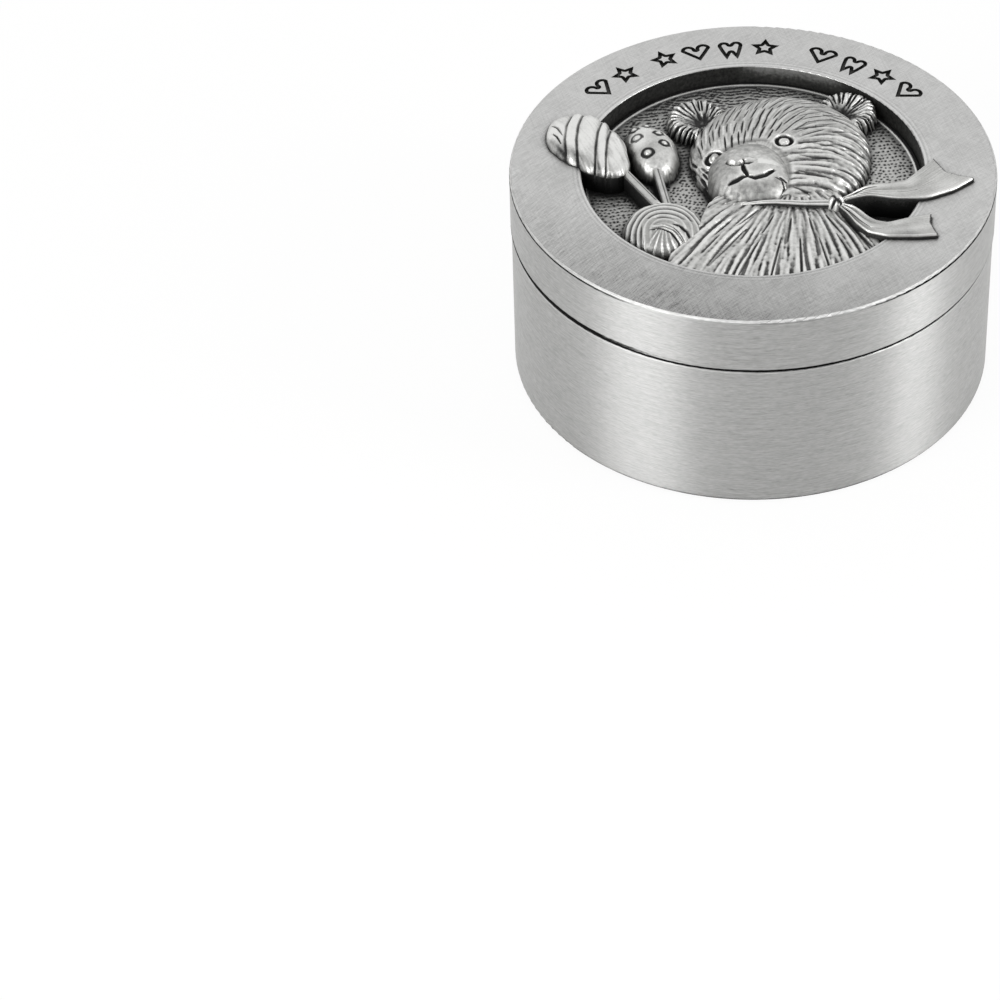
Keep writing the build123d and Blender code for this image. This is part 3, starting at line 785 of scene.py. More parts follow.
def striped_rattle():
    """The striped rattle: its banded head and its handle."""
    outline = outline_through(striped_centre, striped_points, passes=3)
    profile = dome(4.6, rise=1.25, plump_side=2.4, plump_top=2.2)
    head = raised_form(
        "striped_rattle_cast", ["striped_rattle"], striped_centre, outline, profile, lid_top, 140,
        carve_striped(), foot=stepped_foot, tone=0.22, rub=mottle(0.5, 0.05),
    )
    rod = handle("striped_handle", (-12.6, 0.6), (-8.6, -5.6), 21.5)
    joined_castings([head, rod], "striped_rattle_cast", "striped_rattle")


def carve_spotted():
    """Ring spots on a smooth shell, rough towards the handle."""
    carving = Carving(6.0)
    x, y = carving.x + spotted_centre[0], carving.y + spotted_centre[1]
    rough = carving.grain(0.09)
    low_end = 1 - smooth_step(-1.2, 1.0, y - 0.35 * (x + 9.3))
    carving.heights = 0.006 * rough
    carving.tones = -0.22 * low_end + 0.09 * rough * low_end
    for cx, cy, size in spots:
        place = np.array([cx, cy]) - spotted_centre
        carving.cut(place + size * circle_path(17), width=0.4, depth=0.28, blunt=0.0, dark=0.7)
        carving.raise_ridge([place - 0.01, place + 0.01], width=1.1 * size, height=0.14, blunt=0.0)
    return carving


def spotted_rattle():
    """The spotted rattle: its domed head and its handle."""
    outline = outline_through(spotted_centre, spotted_points, passes=3)
    profile = dome(3.4, rise=2.4, plump_side=2.6, plump_top=2.2)
    head = raised_form(
        "spotted_rattle_cast", ["spotted_rattle"], spotted_centre, outline, profile, ground_top, 150,
        carve_spotted(), tone=0.2, rub=mottle(0.6, 0.08),
    )
    rod = handle("spotted_handle", (-8.9, 0.2), (-7.7, -5.4), 21.2)
    joined_castings([head, rod], "spotted_rattle_cast", "spotted_rattle")


# Neck ribbon
neck_line = ((-2.5, -5.1), (-0.5, -5.3), (2.4, -5.4), (5.0, -5.5), (7.2, -5.4))
knot_centre = np.array([7.68, -5.35])
knot_folds = (
    ((-0.9, 0.3), (-0.3, 0.0), (0.2, -0.7)),
    ((0.1, 0.8), (0.35, 0.2), (0.9, -0.1)),
    ((-0.5, -0.8), (0.0, -0.4), (0.7, -0.6)),
)
# Each tail: its upper and its lower edge from the knot out, its notched end, its folds with their
# width and depth, and how many pleats it has
ribbon_tails = {
    "upper_ribbon_tail": (
        (
            (8.1, -5.2), (9.0, -4.4), (10.1, -3.1), (11.3, -2.6), (12.6, -2.55), (13.9, -2.3),
            (15.15, -0.7), (16.65, 1.25),
        ),
        ((8.1, -5.6), (9.3, -5.05), (10.7, -4.6), (13.1, -4.9), (16.0, -4.65), (18.5, -3.35), (20.3, -1.7)),
        ((16.65, 1.25), (17.75, -0.78), (20.3, -1.7)),
        (
            ([(-5.2, 0.9), (-3.6, 1.9), (-1.6, 2.4)], 0.5, 0.12),
            ([(-5.2, -1.2), (-3.2, -1.6), (-0.6, -1.2), (1.2, -0.4)], 0.4, 0.08),
        ),
        2.5,
    ),
    "lower_ribbon_tail": (
        (
            (8.2, -5.9), (9.15, -6.15), (9.85, -6.8), (10.5, -7.6), (11.2, -8.15), (12.3, -8.4),
            (14.2, -7.65), (16.3, -7.1),
        ),
        (
            (8.0, -6.4), (8.6, -7.2), (9.4, -8.65), (10.5, -9.9), (12.4, -10.4),
            (15.0, -10.38), (16.85, -10.15),
        ),
        ((16.3, -7.1), (16.2, -8.4), (16.85, -10.15)),
        (
            ([(-5.2, 0.2), (-3.0, 0.8), (-0.8, 1.4)], 0.5, 0.12),
            ([(-5.2, -1.8), (-3.0, -1.4), (0.0, -1.0)], 0.4, 0.08),
        ),
        2.0,
    ),
}


def neck_ribbon():
    """The band across the neck: three parallel pleats that widen towards the knot."""
    line = through(neck_line)
    carving = Carving(5.4)

    def pleats(across):
        return np.abs(np.sin(2 * np.pi * across)) ** 0.8

    def surface(u, v):
        along, across = (u + 1) / 2, (v + 1) / 2
        aside = (0.12 + 0.34 * along) * np.array([[0], [1]])
        x, y = (line(along) + aside) * across + (line(along) - aside) * (1 - across)
        z = 20.95 + 0.6 * smooth_step(0, 0.5, along) + 0.18 * pleats(across)
        return (x, y, z), (u * 5, v * 5)

    carving.tones = 0.95 * pleats((carving.y / 5 + 1) / 2) - 0.66
    foot = level_foot(ground_top - sink)
    cast("neck_ribbon_cast", ["neck_ribbon"], (160, 36), surface, foot, carving, tone=0.12)


def ribbon_knot():
    """The knot: a faceted bead, pinched by its folds."""
    carving = Carving(2.2)
    for line in knot_folds:
        carving.cut(line, width=0.34, depth=0.16, dark=0.35)

    def outline(turn):
        return 0.95 + 0.07 * np.cos(5 * turn + 0.6)

    profile = dome(0.95, rise=2.95, plump_side=2.9, plump_top=2.5)
    raised_form(
        "ribbon_knot_cast", ["ribbon_knot"], knot_centre, outline, profile, ground_top, 70, carving,
        tone=0.06,
    )


def ribbon_tail(node, upper_points, lower_points, end_points, folds, pleats):
    """A ribbon tail that leaves the knot in pleats and runs out smooth over the ring, with a notched end,
    thin painted highlights along its edges and a painted shadow along its end."""
    upper, lower, end = through(upper_points), through(lower_points), through(end_points)
    corner_upper, corner_lower = upper(np.array([1.0])), lower(np.array([1.0]))
    carving = Carving(5.4)
    for path, width, depth in folds:
        carving.cut(path, width, depth, dark=0.25)
    lines = carving.combed(one_way(0), long=4.0, fine=0.3)
    carving.heights += 0.006 * lines
    # Painted highlights along the tail's edges, and a painted shadow along its notched end
    edge_highlight_and_end_shadow = smooth_step(4.3, 4.7, -carving.y) + smooth_step(4.6, 4.95, carving.y)
    edge_highlight_and_end_shadow -= 3.4 * smooth_step(4.84, 4.92, carving.x)
    by_knot = 1 - smooth_step(-4.0, 0.5, carving.x)
    # Painted light and shade on the pleats near the knot
    pleat = np.cos(2 * np.pi * pleats * (carving.y / 10 + 0.5))
    carving.tones += 0.03 * lines + 0.16 * edge_highlight_and_end_shadow + 0.26 * by_knot * pleat

    def surface(u, v):
        along, across = (u + 1) / 2, (v + 1) / 2
        x, y = upper(along) * across + lower(along) * (1 - across)
        notch = end(1 - across) - (corner_upper * across + corner_lower * (1 - across))
        x = x + along ** 3 * notch[0]
        y = y + along ** 3 * notch[1]
        edge = np.maximum(np.abs(2 * across - 1) ** 12, np.abs(u) ** 50)
        fading = 1 - smooth_step(0.12, 0.55, along)
        z = lid_top + 0.44 - 0.12 * edge + 0.18 * fading * np.cos(2 * np.pi * pleats * across)
        z = z + 0.07 * np.exp(-((across - 0.06) / 0.07) ** 2) + 0.06 * np.sin(np.pi * along) * (across - 0.5)
        return (x, y, z), (u * 5, v * 5)

    rub = mottle(0.8, 0.05)
    cast(node + "_cast", [node], (150, 70), surface, stepped_foot, carving, tone=0.08, rub=rub)


# Ground of the medallion: its pits' spacing in a row, their rows' spacing, and how far out they go
pit_gap, pit_row, pit_reach = 0.4, 0.46, 15.1
bead_radius = 15.35


def medallion_ground():
    """The ground: small pits in rows like scales, and a thin bead at the foot of the wall."""
    carving = Carving(16.4)
    away = np.hypot(carving.x, carving.y)
    for row in np.arange(-16.0, 16.0, pit_row):
        for place in np.arange(-16.0, 16.0, pit_gap):
            cx = place + 0.2 * (round(row / pit_row) % 2) + chance.uniform(-0.1, 0.1)
            cy = row + 0.2 * math.sin(place * 1.3 + 0.6 * row) + chance.uniform(-0.09, 0.09)
            if math.hypot(cx, cy) > pit_reach or chance.uniform() < 0.05:
                continue
            # The pits are short and upright, and drawn out level towards the far side
            far = smooth_step(7, 11, cy)
            half = chance.uniform(0.03, 0.1) + 0.08 * far
            step = half * turned_by(chance.uniform(60, 120) * (1 - far) + chance.uniform(-25, 25))
            width = chance.uniform(0.2, 0.3)
            carving.cut([(cx, cy) - step, (cx, cy) + step], width, depth=0.1, blunt=0.15, dark=0.34)
    bead = np.exp(-((away - bead_radius) / 0.09) ** 2)
    carving.heights += 0.12 * bead
    # A painted highlight along the bead
    carving.tones += 0.6 * bead
    # Painted shade: the ground darkens towards the far side and towards the wall
    carving.tones -= 0.12 * smooth_step(4, 14, carving.y) + 0.1 * smooth_step(11.5, 15, away)

    def surface(u, v):
        ring, turn = disc_places(u, v)
        px, py = ring * ground_radius * np.cos(turn), ring * ground_radius * np.sin(turn)
        return (px, py, np.full(len(u), ground_top)), (px, py)

    cast(
        "medallion_ground_cast", ["medallion_ground"], (300, 300), surface, level_foot(recess_floor),
        carving, tone=0.08, bite=3.0,
    )


def patinate():
    """Writes how bright each point of the relief was rubbed: crests and open faces are bright, and cuts keep
    their dark patina. Places lying low beside taller forms get dark patina and painted shade together."""
    reach, step = 24.0, 0.1
    side = np.arange(-reach, reach + step, step)
    x, y = np.meshgrid(side, side)
    away = np.hypot(x, y)
    tops = np.where((away > recess_radius) & (away < lid_radius), lid_top, 0)
    for row in castings:
        px, py, pz = row["places"].T
        column = np.clip(np.round((px + reach) / step).astype(int), 0, len(side) - 1)
        line = np.clip(np.round((py + reach) / step).astype(int), 0, len(side) - 1)
        np.maximum.at(tops, (line, column), pz)
    tops = np.maximum(tops, np.where(away <= recess_radius, ground_top, 0))
    tops = np.where(tops < 1, lid_top, tops)
    near, wide = blurred(tops, 0.45, step), blurred(tops, 1.3, step)
    for row in castings:
        px, py, pz = row["places"].T
        patina_and_painted_shade = 0.6 * smooth_step(0.05, 0.9, picked(near, reach, step, px, py) - pz)
        patina_and_painted_shade = patina_and_painted_shade + 0.4 * smooth_step(0.0, 1.3, picked(wide, reach, step, px, py) - pz)
        bright = 0.66 + row["shade"] - 0.75 * patina_and_painted_shade
        # The walls of the cast pieces get painted shade: mid grey where they stand on the ring, nearly black
        # below it
        bright = np.where(row["skirt"], np.where(pz > lid_top - 0.1, 0.3, 0.05), bright)
        # The rubbed attribute carries patina and wear together with this painted light and shade
        attribute = row["piece"].data.attributes.new("rubbed", "FLOAT", "POINT")
        attribute.data.foreach_set("value", np.clip(bright, 0, 1).astype(np.float32))


# Materials
def linear(colour):
    """An sRGB hex colour as linear light with full cover."""
    values = [int(colour[index:index + 2], 16) / 255 for index in (1, 3, 5)]
    return [c / 12.92 if c <= 0.04045 else ((c + 0.055) / 1.055) ** 2.4 for c in values] + [1.0]


def add(tree, kind, inputs=(), stops=(), **settings):
    """Adds a node with its settings, its ramp's stops, and its inputs' values or links, in order or
    by name. A node given as an input stands for its first output."""
    made = tree.nodes.new("ShaderNode" + kind)
    for key, value in settings.items():
        setattr(made, key, value)
    for index, (place, colour) in enumerate(stops):
        ramp = made.color_ramp.elements
        stop = ramp[index] if index < len(ramp) else ramp.new(place)
        stop.position = place
        stop.color = linear(colour)
    for key, value in inputs.items() if isinstance(inputs, dict) else enumerate(inputs):
        if isinstance(value, bpy.types.Node):
            value = value.outputs[0]
        if isinstance(value, bpy.types.NodeSocket):
            tree.links.new(value, made.inputs[key])
        else:
            made.inputs[key].default_value = value
    return made


def new_material(name):
    """An empty node material and its tree."""
    material = bpy.data.materials.new(name)
    material.use_nodes = True
    material.node_tree.nodes.clear()
    return material, material.node_tree


def finished(material, kind, inputs):
    """The material, with a shader joined to its output."""
    tree = material.node_tree
    add(tree, "OutputMaterial", {"Surface": add(tree, kind, inputs)})
    return material


def streaks(tree, place, size, detail, turn=0, **settings):
    """Noise drawn out to streaks of a given size in millimetres, turned by some degrees."""
    drawn = {"Vector": place, "Rotation": (0, 0, math.radians(turn)), "Scale": [side * MM for side in size]}
    drawn = add(tree, "Mapping", drawn, vector_type="TEXTURE")
    return add(tree, "TexNoise", {"Vector": drawn, "Scale": 1.0, "Detail": detail}, **settings)


def from_axis(tree, place):
    """How far a place is from the box's axis."""
    flat = add(tree, "VectorMath", (place, (1, 1, 0)), operation="MULTIPLY")
    return add(tree, "VectorMath", (flat,), operation="LENGTH").outputs["Value"]


def turned_line(tree, coordinate, middle, inner, outer, change):
    """A change along a turned line: whole up to the inner reach, and none past the outer, in
    millimetres of a radius or a height."""
    away = add(tree, "Math", (coordinate, middle * MM), operation="SUBTRACT")
    away = add(tree, "Math", (away,), operation="ABSOLUTE")
    return add(tree, "MapRange", (away, inner * MM, outer * MM, change, 0.0))


def corner_patina_and_shade(tree, reach, shut, opened, change):
    """Dirt, patina and painted shade in the corners within a reach, in millimetres: the whole change where a
    place is as shut in as the first share, and none from the second."""
    near = add(tree, "AmbientOcclusion", {"Distance": reach * MM}, samples=8).outputs["AO"]
    return add(tree, "MapRange", (near, shut, opened, change, 0.0))


def antiqued_relief():
    """Cast pewter, blackened and rubbed back by hand: black stays in the cuts, grey metal shows on
    the slopes, and the crests are polished almost white."""
    material, tree = new_material("cast_pewter_antiqued")
    place = add(tree, "TexCoord").outputs["Object"]
    # The rubbed attribute carries painted shade and painted highlights as well as patina and wear
    rubbed = add(tree, "Attribute", attribute_name="rubbed", attribute_type="GEOMETRY").outputs["Fac"]
    # Grain of the casting, about 0.15 mm
    grain = add(tree, "TexNoise", {"Vector": place, "Scale": 6500.0, "Detail": 2.0})
    # Cloudy rubbing, a few millimetres wide
    cloud = add(tree, "TexNoise", {"Vector": place, "Scale": 900.0, "Detail": 3.0})
    noise = add(tree, "Math", (grain, cloud), operation="ADD")
    shift = add(tree, "Math", (noise, 0.22, -0.22), operation="MULTIPLY_ADD")
    amount = add(tree, "Math", (rubbed, shift), operation="ADD")
    stops = (
        (0.0, "#0d0d0d"), (0.22, "#2f2f2e"), (0.42, "#737372"), (0.62, "#acacaa"), (0.82, "#d1d1cf"),
        (1.0, "#e9e9e7"),
    )
    shader = {
        "Base Color": add(tree, "ValToRGB", (amount,), stops),
        "Roughness": add(tree, "MapRange", (amount, 0.1, 0.9, 0.64, 0.42)),
        "Metallic": add(tree, "MapRange", (amount, 0.05, 0.35, 0.3, 1.0)),
        "Normal": add(tree, "Bump", {"Height": grain, "Strength": 0.25, "Distance": 0.00003}),
    }
    return finished(material, "BsdfPrincipled", shader)


def satin_ring():
    """Cast pewter, rubbed satin with a fine pad: an even grey with hair-fine scratches that cross each other
    in every direction, and patina and painted shade where the relief meets it."""
    material, tree = new_material("pewter_rubbed_satin")
    place = add(tree, "TexCoord").outputs["Object"]
    # Scratches are about 0.02 mm wide and 2 to 4 mm long, and drawn 0.1 mm wide so that they show:
    # their turn in degrees, length and width
    scratches = ((24, 2.2, 0.1), (-38, 3.0, 0.12), (62, 2.5, 0.09), (-74, 3.5, 0.11), (44, 4.0, 0.14))
    total = None
    for turn, long, fine in scratches:
        lines = streaks(tree, place, (long, fine, fine), 1.0, turn, noise_dimensions="2D")
        total = lines if total is None else add(tree, "Math", (total, lines), operation="ADD")
    # The near left was scratched more, in one slanting direction
    slant = streaks(tree, place, (2.4, 0.09, 0.09), 1.0, 57, noise_dimensions="2D")
    corner = add(tree, "VectorMath", (place, (-0.8, -0.6, 0)), operation="DOT_PRODUCT").outputs["Value"]
    corner = add(tree, "MapRange", (corner, 12 * MM, 20 * MM, 0.1, 0.5))
    slant = add(tree, "Math", (slant, -0.5), operation="ADD")
    slant = add(tree, "Math", (slant, corner), operation="MULTIPLY")
    # Clouds of rubbing a few millimetres wide
    cloud = add(tree, "TexNoise", {"Vector": place, "Scale": 260.0, "Detail": 4.0})
    cloud = add(tree, "Math", (cloud, 0.24, -0.12), operation="MULTIPLY_ADD")
    # The near side is a little darker
    near = add(tree, "VectorMath", (place, (-0.2, -0.98, 0)), operation="DOT_PRODUCT").outputs["Value"]
    near = add(tree, "MapRange", (near, 8 * MM, 22 * MM, 0.05, -0.3))
    # Turned lines run round the recess, and the first, at its edge, is a painted highlight: radius in
    # millimetres, reach, and how much brighter
    radius = from_axis(tree, place)
    lines = ((16.0, 0.12, 0.3), (16.22, 0.06, -0.16), (16.42, 0.07, 0.12), (16.62, 0.05, -0.1))
    turned = [turned_line(tree, radius, line, 0.5 * reach, reach, change) for line, reach, change in lines]
    # Patina and painted shade in the corners where the relief stands on the ring
    patina = [corner_patina_and_shade(tree, 0.8, 0.45, 0.94, -0.9), corner_patina_and_shade(tree, 0.3, 0.5, 0.94, -0.5)]
    amount = add(tree, "MapRange", (total, 2.0, 3.0, 0.49, 0.71))
    for change in (cloud, slant, near, *turned, *patina):
        amount = add(tree, "Math", (amount, change), operation="ADD")
    stops = ((0.0, "#4a4a49"), (0.28, "#a0a09f"), (0.5, "#b9b9b8"), (0.85, "#d6d6d5"))
    shader = {
        "Base Color": add(tree, "ValToRGB", (amount,), stops),
        "Metallic": 1.0,
        "Roughness": add(tree, "MapRange", (amount, 0.2, 0.8, 0.52, 0.4)),
        "Normal": add(tree, "Bump", {"Height": total, "Strength": 0.1, "Distance": 0.00003}),
    }
    return finished(material, "BsdfPrincipled", shader)


def brushed_side():
    """Turned pewter, brushed on the lathe: fine level lines run round the wall, so that lights
    smear into tall soft bands. The joint under the lid keeps a dark line of patina."""
    material, tree = new_material("pewter_turned_and_brushed")
    place = add(tree, "TexCoord").outputs["Object"]
    # Brush lines are about 0.03 mm high, and drawn 0.06 and 0.12 mm high so that they show
    fine = streaks(tree, place, (0.6, 0.6, 0.06), 2.0)
    broad = streaks(tree, place, (2.4, 2.4, 0.12), 2.0)
    half = add(tree, "Math", (fine, 0.6), operation="MULTIPLY")
    level = add(tree, "Math", (broad, 0.4, half), operation="MULTIPLY_ADD")
    # Patina and painted shade in the corners are left on the outer wall alone: the cup's rim and the spigot
    # rub each other bare
    outer = add(tree, "MapRange", (from_axis(tree, place), 22.1 * MM, 22.25 * MM))
    place = add(tree, "SeparateXYZ", (place,))
    height, sideways = place.outputs["Z"], place.outputs["X"]
    # A line of painted shade under the top edge is dark at the left and right, and fades out between
    out = add(tree, "Math", (sideways,), operation="ABSOLUTE")
    out = add(tree, "MapRange", (out, 8 * MM, 15 * MM, 0.0, -0.6))
    # At the left the painted shade over the joint is wider
    left_joint_painted_shade = add(tree, "MapRange", (sideways, -20 * MM, -5 * MM, -1.0, 0.0))
    # Patina stays in the joint. A painted highlight runs along the cup's lip under it and along the lid's
    # top edge, and painted shade lies in a line under that edge and over the joint at the left: height in
    # millimetres, reaches, how much darker or brighter, and where
    lines = (
        (15.66, 0.1, 0.2, -0.95, outer),
        (15.36, 0.045, 0.09, 0.2, outer),
        (21.28, 0.07, 0.14, 0.4, outer),
        (21.08, 0.06, 0.12, 1.0, out),
        (15.9, 0.14, 0.26, 1.0, left_joint_painted_shade),
    )
    # Patina in the joint, and painted shade in the outer wall's other corners
    patina = corner_patina_and_shade(tree, 0.7, 0.4, 0.92, -0.5)
    amount = add(tree, "Math", (patina, outer, level), operation="MULTIPLY_ADD")
    for middle, inner, reach, change, where in lines:
        share = turned_line(tree, height, middle, inner, reach, change)
        amount = add(tree, "Math", (share, where, amount), operation="MULTIPLY_ADD")
    stops = ((0.0, "#161616"), (0.3, "#a1a1a0"), (0.5, "#b5b5b4"), (0.7, "#c5c5c4"), (1.0, "#f2f2f1"))
    rough = add(tree, "MapRange", (level, 0.3, 0.7, 0.5, 0.38))
    # The patina is matt
    matt = add(tree, "MapRange", (amount, 0.1, 0.35, 0.4, 0.0))
    rough = add(tree, "Math", (rough, matt), operation="ADD")
    # The rim was rubbed by hand: it is matt, and brightest where it is handled most, at the front
    rim = add(tree, "MapRange", (height, 21.12 * MM, 21.2 * MM, 0.0, 0.34))
    handled = add(tree, "Math", (out, 2.4, 1.44), operation="MULTIPLY_ADD")
    handled = add(tree, "Math", (handled, rim), operation="MULTIPLY")
    shader = {
        "Base Color": add(tree, "ValToRGB", (amount,), stops),
        "Metallic": add(tree, "Math", (1.0, handled), operation="SUBTRACT"),
        "Roughness": add(tree, "Math", (rough, rim), operation="ADD"),
        "Anisotropic": 0.85,
        "Anisotropic Rotation": 0.25,
        "Tangent": add(tree, "Tangent", direction_type="RADIAL", axis="Z"),
        "Normal": add(tree, "Bump", {"Height": level, "Strength": 0.1, "Distance": 0.00003}),
    }
    return finished(material, "BsdfPrincipled", shader)


def blackened_metal():
    """Pewter blackened in a bath and not rubbed: a matt, nearly black grey with a little metal showing
    through, and a painted highlight high on the far wall."""
    material, tree = new_material("pewter_blackened")
    place = add(tree, "TexCoord").outputs["Object"]
    cloud = add(tree, "TexNoise", {"Vector": place, "Scale": 3200.0, "Detail": 3.0})
    # A painted highlight, a reflection painted into the colour, lies on the upper part of the wall at the
    # far side
    far = add(tree, "VectorMath", (place, (0.24, 0.97, 0)), operation="DOT_PRODUCT").outputs["Value"]
    far = add(tree, "MapRange", (far, 14.6 * MM, 15.7 * MM), interpolation_type="SMOOTHSTEP")
    high = add(tree, "SeparateXYZ", (place,)).outputs["Z"]
    high = add(tree, "MapRange", (high, 20.0 * MM, 21.3 * MM, 0.08, 0.7))
    inside = add(tree, "MapRange", (from_axis(tree, place), 16.0 * MM, 16.2 * MM, 1.0, 0.0))
    far_wall_highlight = add(tree, "Math", (far, high), operation="MULTIPLY")
    far_wall_highlight = add(tree, "Math", (far_wall_highlight, inside), operation="MULTIPLY")
    amount = add(tree, "Math", (cloud, 0.6, far_wall_highlight), operation="MULTIPLY_ADD")
    stops = ((0.15, "#1c1c1b"), (0.5, "#4c4c4a"), (1.0, "#a8a8a6"))
    shader = {
        "Base Color": add(tree, "ValToRGB", (amount,), stops),
        "Metallic": 0.7,
        "Roughness": add(tree, "MapRange", (cloud, 0.3, 0.7, 0.6, 0.42)),
        "Normal": add(tree, "Bump", {"Height": cloud, "Strength": 0.2, "Distance": 0.00005}),
    }
    return finished(material, "BsdfPrincipled", shader)


def black_velvet():
    """Black cotton velvet, cut pile: it drinks light, with a faint sheen where the pile leans."""
    material, tree = new_material("velvet_cut_pile_black")
    place = add(tree, "TexCoord").outputs["Object"]
    # Pile is about 0.05 mm thick, and drawn 0.2 mm so that it shows
    pile = add(tree, "TexNoise", {"Vector": place, "Scale": 5000.0, "Detail": 3.0})
    lean = add(tree, "TexNoise", {"Vector": place, "Scale": 260.0, "Detail": 2.0})
    both = add(tree, "Math", (lean, 0.5, pile), operation="MULTIPLY_ADD")
    stops = ((0.45, "#060607"), (0.75, "#101012"), (1.0, "#2c2c31"))
    shader = {
        "Base Color": add(tree, "ValToRGB", (both,), stops),
        "Roughness": 0.95,
        "Sheen Weight": 0.25,
        "Sheen Roughness": 0.4,
        "Normal": add(tree, "Bump", {"Height": pile, "Strength": 0.5, "Distance": 0.0002}),
    }
    return finished(material, "BsdfPrincipled", shader)


def grey_card():
    """Pressed grey board: short fibres and flecks, matt."""
    material, tree = new_material("board_pressed_grey")
    place = add(tree, "TexCoord").outputs["Object"]
    # Fibres are about 0.1 mm wide and a few long
    drawn = add(tree, "Mapping", {"Vector": place, "Scale": (2500, 7000, 4000)})
    fibre = add(tree, "TexNoise", {"Vector": drawn, "Scale": 1.0, "Detail": 4.0})
    shader = {
        "Base Color": add(tree, "ValToRGB", (fibre,), ((0.3, "#6f6c66"), (0.7, "#9a968d"))),
        "Roughness": 0.85,
        "Normal": add(tree, "Bump", {"Height": fibre, "Strength": 0.4, "Distance": 0.00005}),
    }
    return finished(material, "BsdfPrincipled", shader)


def dress_packed():
    """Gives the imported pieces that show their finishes, face by face on the lid's cover, and the
    relief its own."""
    relief, ring, side, black = antiqued_relief(), satin_ring(), brushed_side(), blackened_metal()
    card = grey_card()
    finishes = {
        "base_cup": (side,),
        "lid_spigot_ring": (side,),
        "lid_cover": (side, ring, black),
        "base_wall_card": (card,),
        "base_floor_card": (card,),
        "lid_card_disc": (card,),
    }
    for name, materials in finishes.items():
        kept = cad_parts[name].data.materials
        kept.clear()
        for material in materials:
            kept.append(material)
    # The lid's wall and underside are brushed, its top ring is satin, and its recess is blackened
    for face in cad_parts["lid_cover"].data.polygons:
        x, y, z = face.center / MM
        away = math.hypot(x, y)
        if z < recess_floor - 0.1 or away > lid_radius - 1 and face.normal.z < 0.9:
            face.material_index = 0
        elif z > lid_top - 0.16 and face.normal.z > 0.25:
            face.material_index = 1
        else:
            face.material_index = 2
    for row in castings:
        row["piece"].data.materials.append(relief)


def spun(name, points):
    """A closed piece spun round the box's axis from its section."""
    bm = bmesh.new()
    corners = [bm.verts.new((radius * MM, 0, height * MM)) for radius, height in points]
    edges = [bm.edges.new(pair) for pair in zip(corners, corners[1:] + corners[:1])]
    if points[0][0] == 0:
        bm.edges.remove(edges.pop())
    bmesh.ops.spin(
        bm, geom=corners + edges, cent=(0, 0, 0), axis=(0, 0, 1), dvec=(0, 0, 0), angle=2 * math.pi,
        steps=192, use_merge=True,
    )
    bmesh.ops.remove_doubles(bm, verts=bm.verts, dist=1e-6)
    bmesh.ops.recalc_face_normals(bm, faces=bm.faces)
    return new_piece(name, bm)


def arc_points(centre, radius, start, end, count):
    """Points on an arc of a section, from one angle in degrees to another."""
    turns = np.radians(np.linspace(start, end, count))
    return [(centre[0] + radius * math.cos(turn), centre[1] + radius * math.sin(turn)) for turn in turns]


def velvet_piece(name, body, node, points, velvet, **facts):
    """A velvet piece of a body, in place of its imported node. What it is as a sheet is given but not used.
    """
    piece = spun(name, points)
    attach(piece, body)
    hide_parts(node)
    piece.data.materials.append(velvet)


def velvet_lining():
    """The velvet of the wall, the floor and the lid, rounded where it is turned over its edge."""
    velvet = black_velvet()
    outer, inner, low, high, fold = 20.35, 19.65, 1.2, 12.4, 0.35
    middle = 0.5 * (outer + inner)
    points = [(outer, low)]
    points += [(outer, height) for height in np.linspace(low + 1, high - 0.4, 12)]
    points += arc_points((inner + fold, high - fold), fold, 0, 180, 10)
    points += [(inner, height) for height in np.linspace(high - 0.6, low, 24)]
    velvet_piece(
        "base_wall_velvet_band", "base", "base_wall_velvet", points, velvet,
        flat=(2 * math.pi * middle * MM, (high - low) * MM), held="stretched", rests_on=["base_wall_card"],
    )
    radius, low, high, fold = 19.35, 1.6, 2.5, 0.4
    points = [(0, low)]
    points += [(share * radius, low) for share in np.linspace(0.1, 1, 10)]
    points += arc_points((radius - fold, low + 0.45), fold, 0, 90, 7)
    points += [(share * (radius - fold), high) for share in np.linspace(0.98, 0.0, 40)]
    velvet_piece(
        "base_floor_velvet_pad", "base", "base_floor_velvet", points, velvet,
        flat=(2 * radius * MM, 2 * radius * MM), area=math.pi * (radius * MM) ** 2, held="laid",
        rests_on=["base_floor_card"],
    )
    radius, low, high, fold = 19.27, 16.6, 17.3, 0.35
    points = [(0, low)]
    points += [(share * (radius - fold), low) for share in np.linspace(0.02, 0.99, 40)]
    points += arc_points((radius - fold, low + fold), fold, -90, 0, 7)
    points += [(share * radius, high) for share in np.linspace(1, 0.0, 10)]
    velvet_piece(
        "lid_velvet_pad", "lid_lining", "lid_velvet_disc", points, velvet,
        flat=(2 * radius * MM, 2 * radius * MM), area=math.pi * (radius * MM) ** 2, held="stretched",
        rests_on=["lid_card_disc"],
    )


# Stage
# Each lamp: its turn from the front and its rise in degrees, its distance, width and height in
# metres, and how bright its face is
lamps = {
    "softbox_left": (-46, 12, 0.45, 0.27, 0.5, 5.2),
    "softbox_right": (74, 12, 0.45, 0.16, 0.5, 6.2),
    "strip_above": (4, 54, 0.45, 0.3, 0.04, 3.6),
}


def white_surface(name, kept_shadow):
    """A plain pale surface: it takes light and shadow as it is, and looks nearly white straight on
    and in the metal, with part of its shadow kept."""
    material, tree = new_material(name)
    ray = add(tree, "LightPath").outputs
    seen = add(tree, "Math", (ray["Is Camera Ray"], ray["Is Transmission Ray"]), operation="MAXIMUM")
    seen = add(tree, "Math", (seen, 1 - kept_shadow), operation="MULTIPLY")
    mirrored = add(tree, "Math", (ray["Is Glossy Ray"], 0.35), operation="MULTIPLY")
    share = add(tree, "Math", (seen, mirrored), operation="MAXIMUM")
    paper = add(tree, "BsdfDiffuse", {"Color": linear("#f4f4f3")})
    glow = add(tree, "Emission", {"Color": linear("#ffffff"), "Strength": 1.0})
    return finished(material, "MixShader", (share, paper, glow))


def make_floor():
    """A sheet of white paper under the box, wider than the picture."""
    bm = bmesh.new()
    bmesh.ops.create_grid(bm, x_segments=1, y_segments=1, size=3.0)
    floor = new_piece("studio_floor", bm)
    floor.data.materials.append(white_surface("floor_paper_white", 0.08))


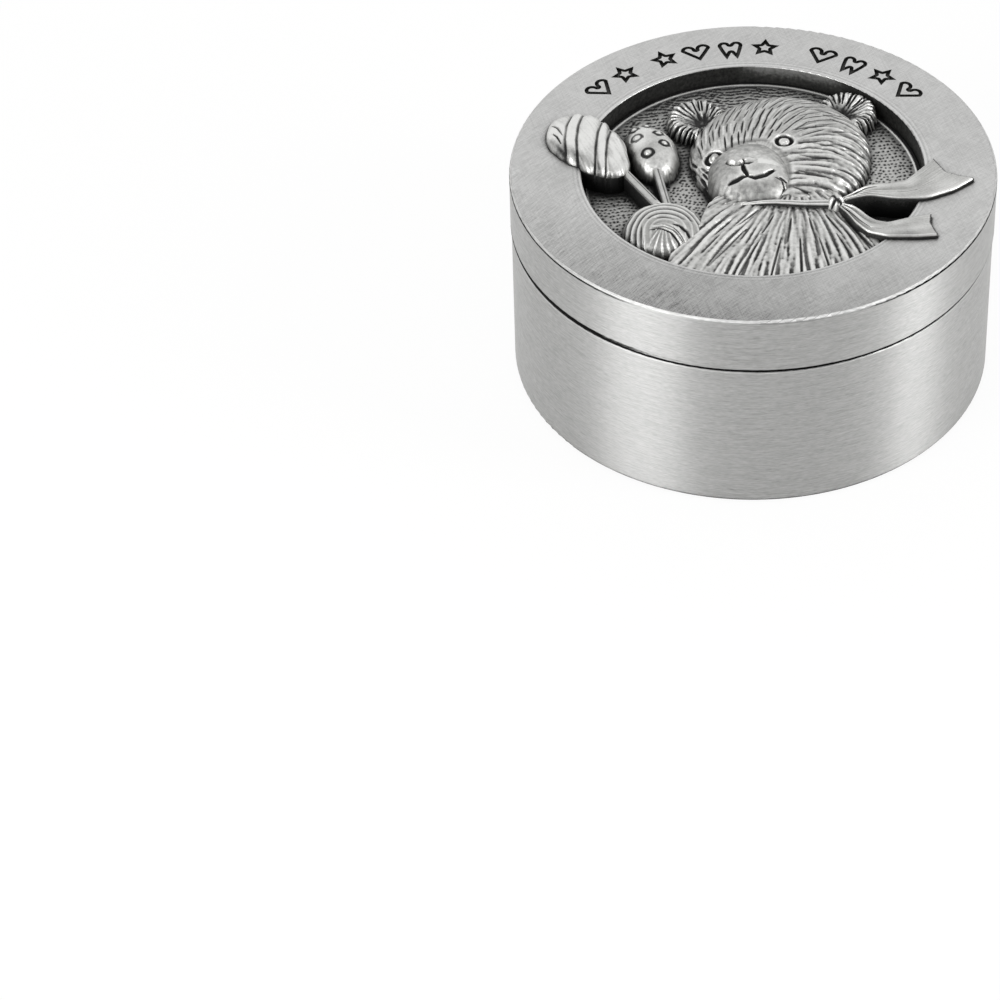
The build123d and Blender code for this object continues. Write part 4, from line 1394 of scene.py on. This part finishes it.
def make_world():
    """The room: dim on the photographer's side, light behind the box, and white in the picture."""
    world = bpy.data.worlds.new("studio_world")
    bpy.context.scene.world = world
    world.use_nodes = True
    tree = world.node_tree
    tree.nodes.clear()
    way = add(tree, "SeparateXYZ", (add(tree, "TexCoord").outputs["Generated"],)).outputs["Y"]
    level = add(tree, "MapRange", (way, -1.0, 0.6, 0.3, 0.95), interpolation_type="SMOOTHSTEP")
    shade = add(tree, "Background", {"Color": linear("#ffffff"), "Strength": level})
    white = add(tree, "Background", {"Color": linear("#ffffff"), "Strength": 1.0})
    seen = add(tree, "LightPath").outputs["Is Camera Ray"]
    add(tree, "OutputWorld", {"Surface": add(tree, "MixShader", (seen, shade, white))})


def make_lamps():
    """The lamps, all turned towards the middle of the box."""
    for name, (turn, rise, far, wide, tall, radiance) in lamps.items():
        light = bpy.data.lights.new(name, "AREA")
        light.shape = "RECTANGLE"
        light.size = wide
        light.size_y = tall
        light.energy = radiance * math.pi * wide * tall
        lamp = bpy.data.objects.new(name, light)
        bpy.context.scene.collection.objects.link(lamp)
        aim = Matrix.Translation((0, 0, 0.012))
        swing = Matrix.Rotation(math.radians(turn), 4, "Z")
        swing = swing @ Matrix.Rotation(math.pi / 2 - math.radians(rise), 4, "X")
        lamp.matrix_world = aim @ swing @ Matrix.Translation((0, 0, far))


def make_camera():
    """The photograph's view, fitted to the box's rims."""
    camera = bpy.data.cameras.new("camera")
    camera.sensor_width = 36
    camera.lens = 159.377
    camera.clip_start = 0.01
    holder = bpy.data.objects.new("camera", camera)
    bpy.context.scene.collection.objects.link(holder)
    right = (0.9983148, 0.0523497, -0.0250409)
    up = (-0.0161077, 0.6645354, 0.7470832)
    back = (0.0557501, -0.7454209, 0.6642587)
    place = (0, -0.3263324, 0.2705610)
    holder.matrix_world = Matrix([*zip(right, up, back, place), (0, 0, 0, 1)])
    bpy.context.scene.camera = holder


make_camera()
medallion_ground()
bear_head()
bear_muzzle()
bear_nose()
bear_eyes()
bear_ear("bear_left_ear_cast", "bear_left_ear", (-5.31, 8.40), (0.7, -0.9))
bear_ear("bear_right_ear_cast", "bear_right_ear", (8.72, 9.83), (-0.5, -0.9))
bear_body()
bear_paw()
striped_rattle()
spotted_rattle()
neck_ribbon()
ribbon_knot()
for node, drawing in ribbon_tails.items():
    ribbon_tail(node, *drawing)
patinate()
dress_packed()
velvet_lining()
make_floor()
make_world()
make_lamps()
bpy.context.scene.view_settings.view_transform = "Standard"
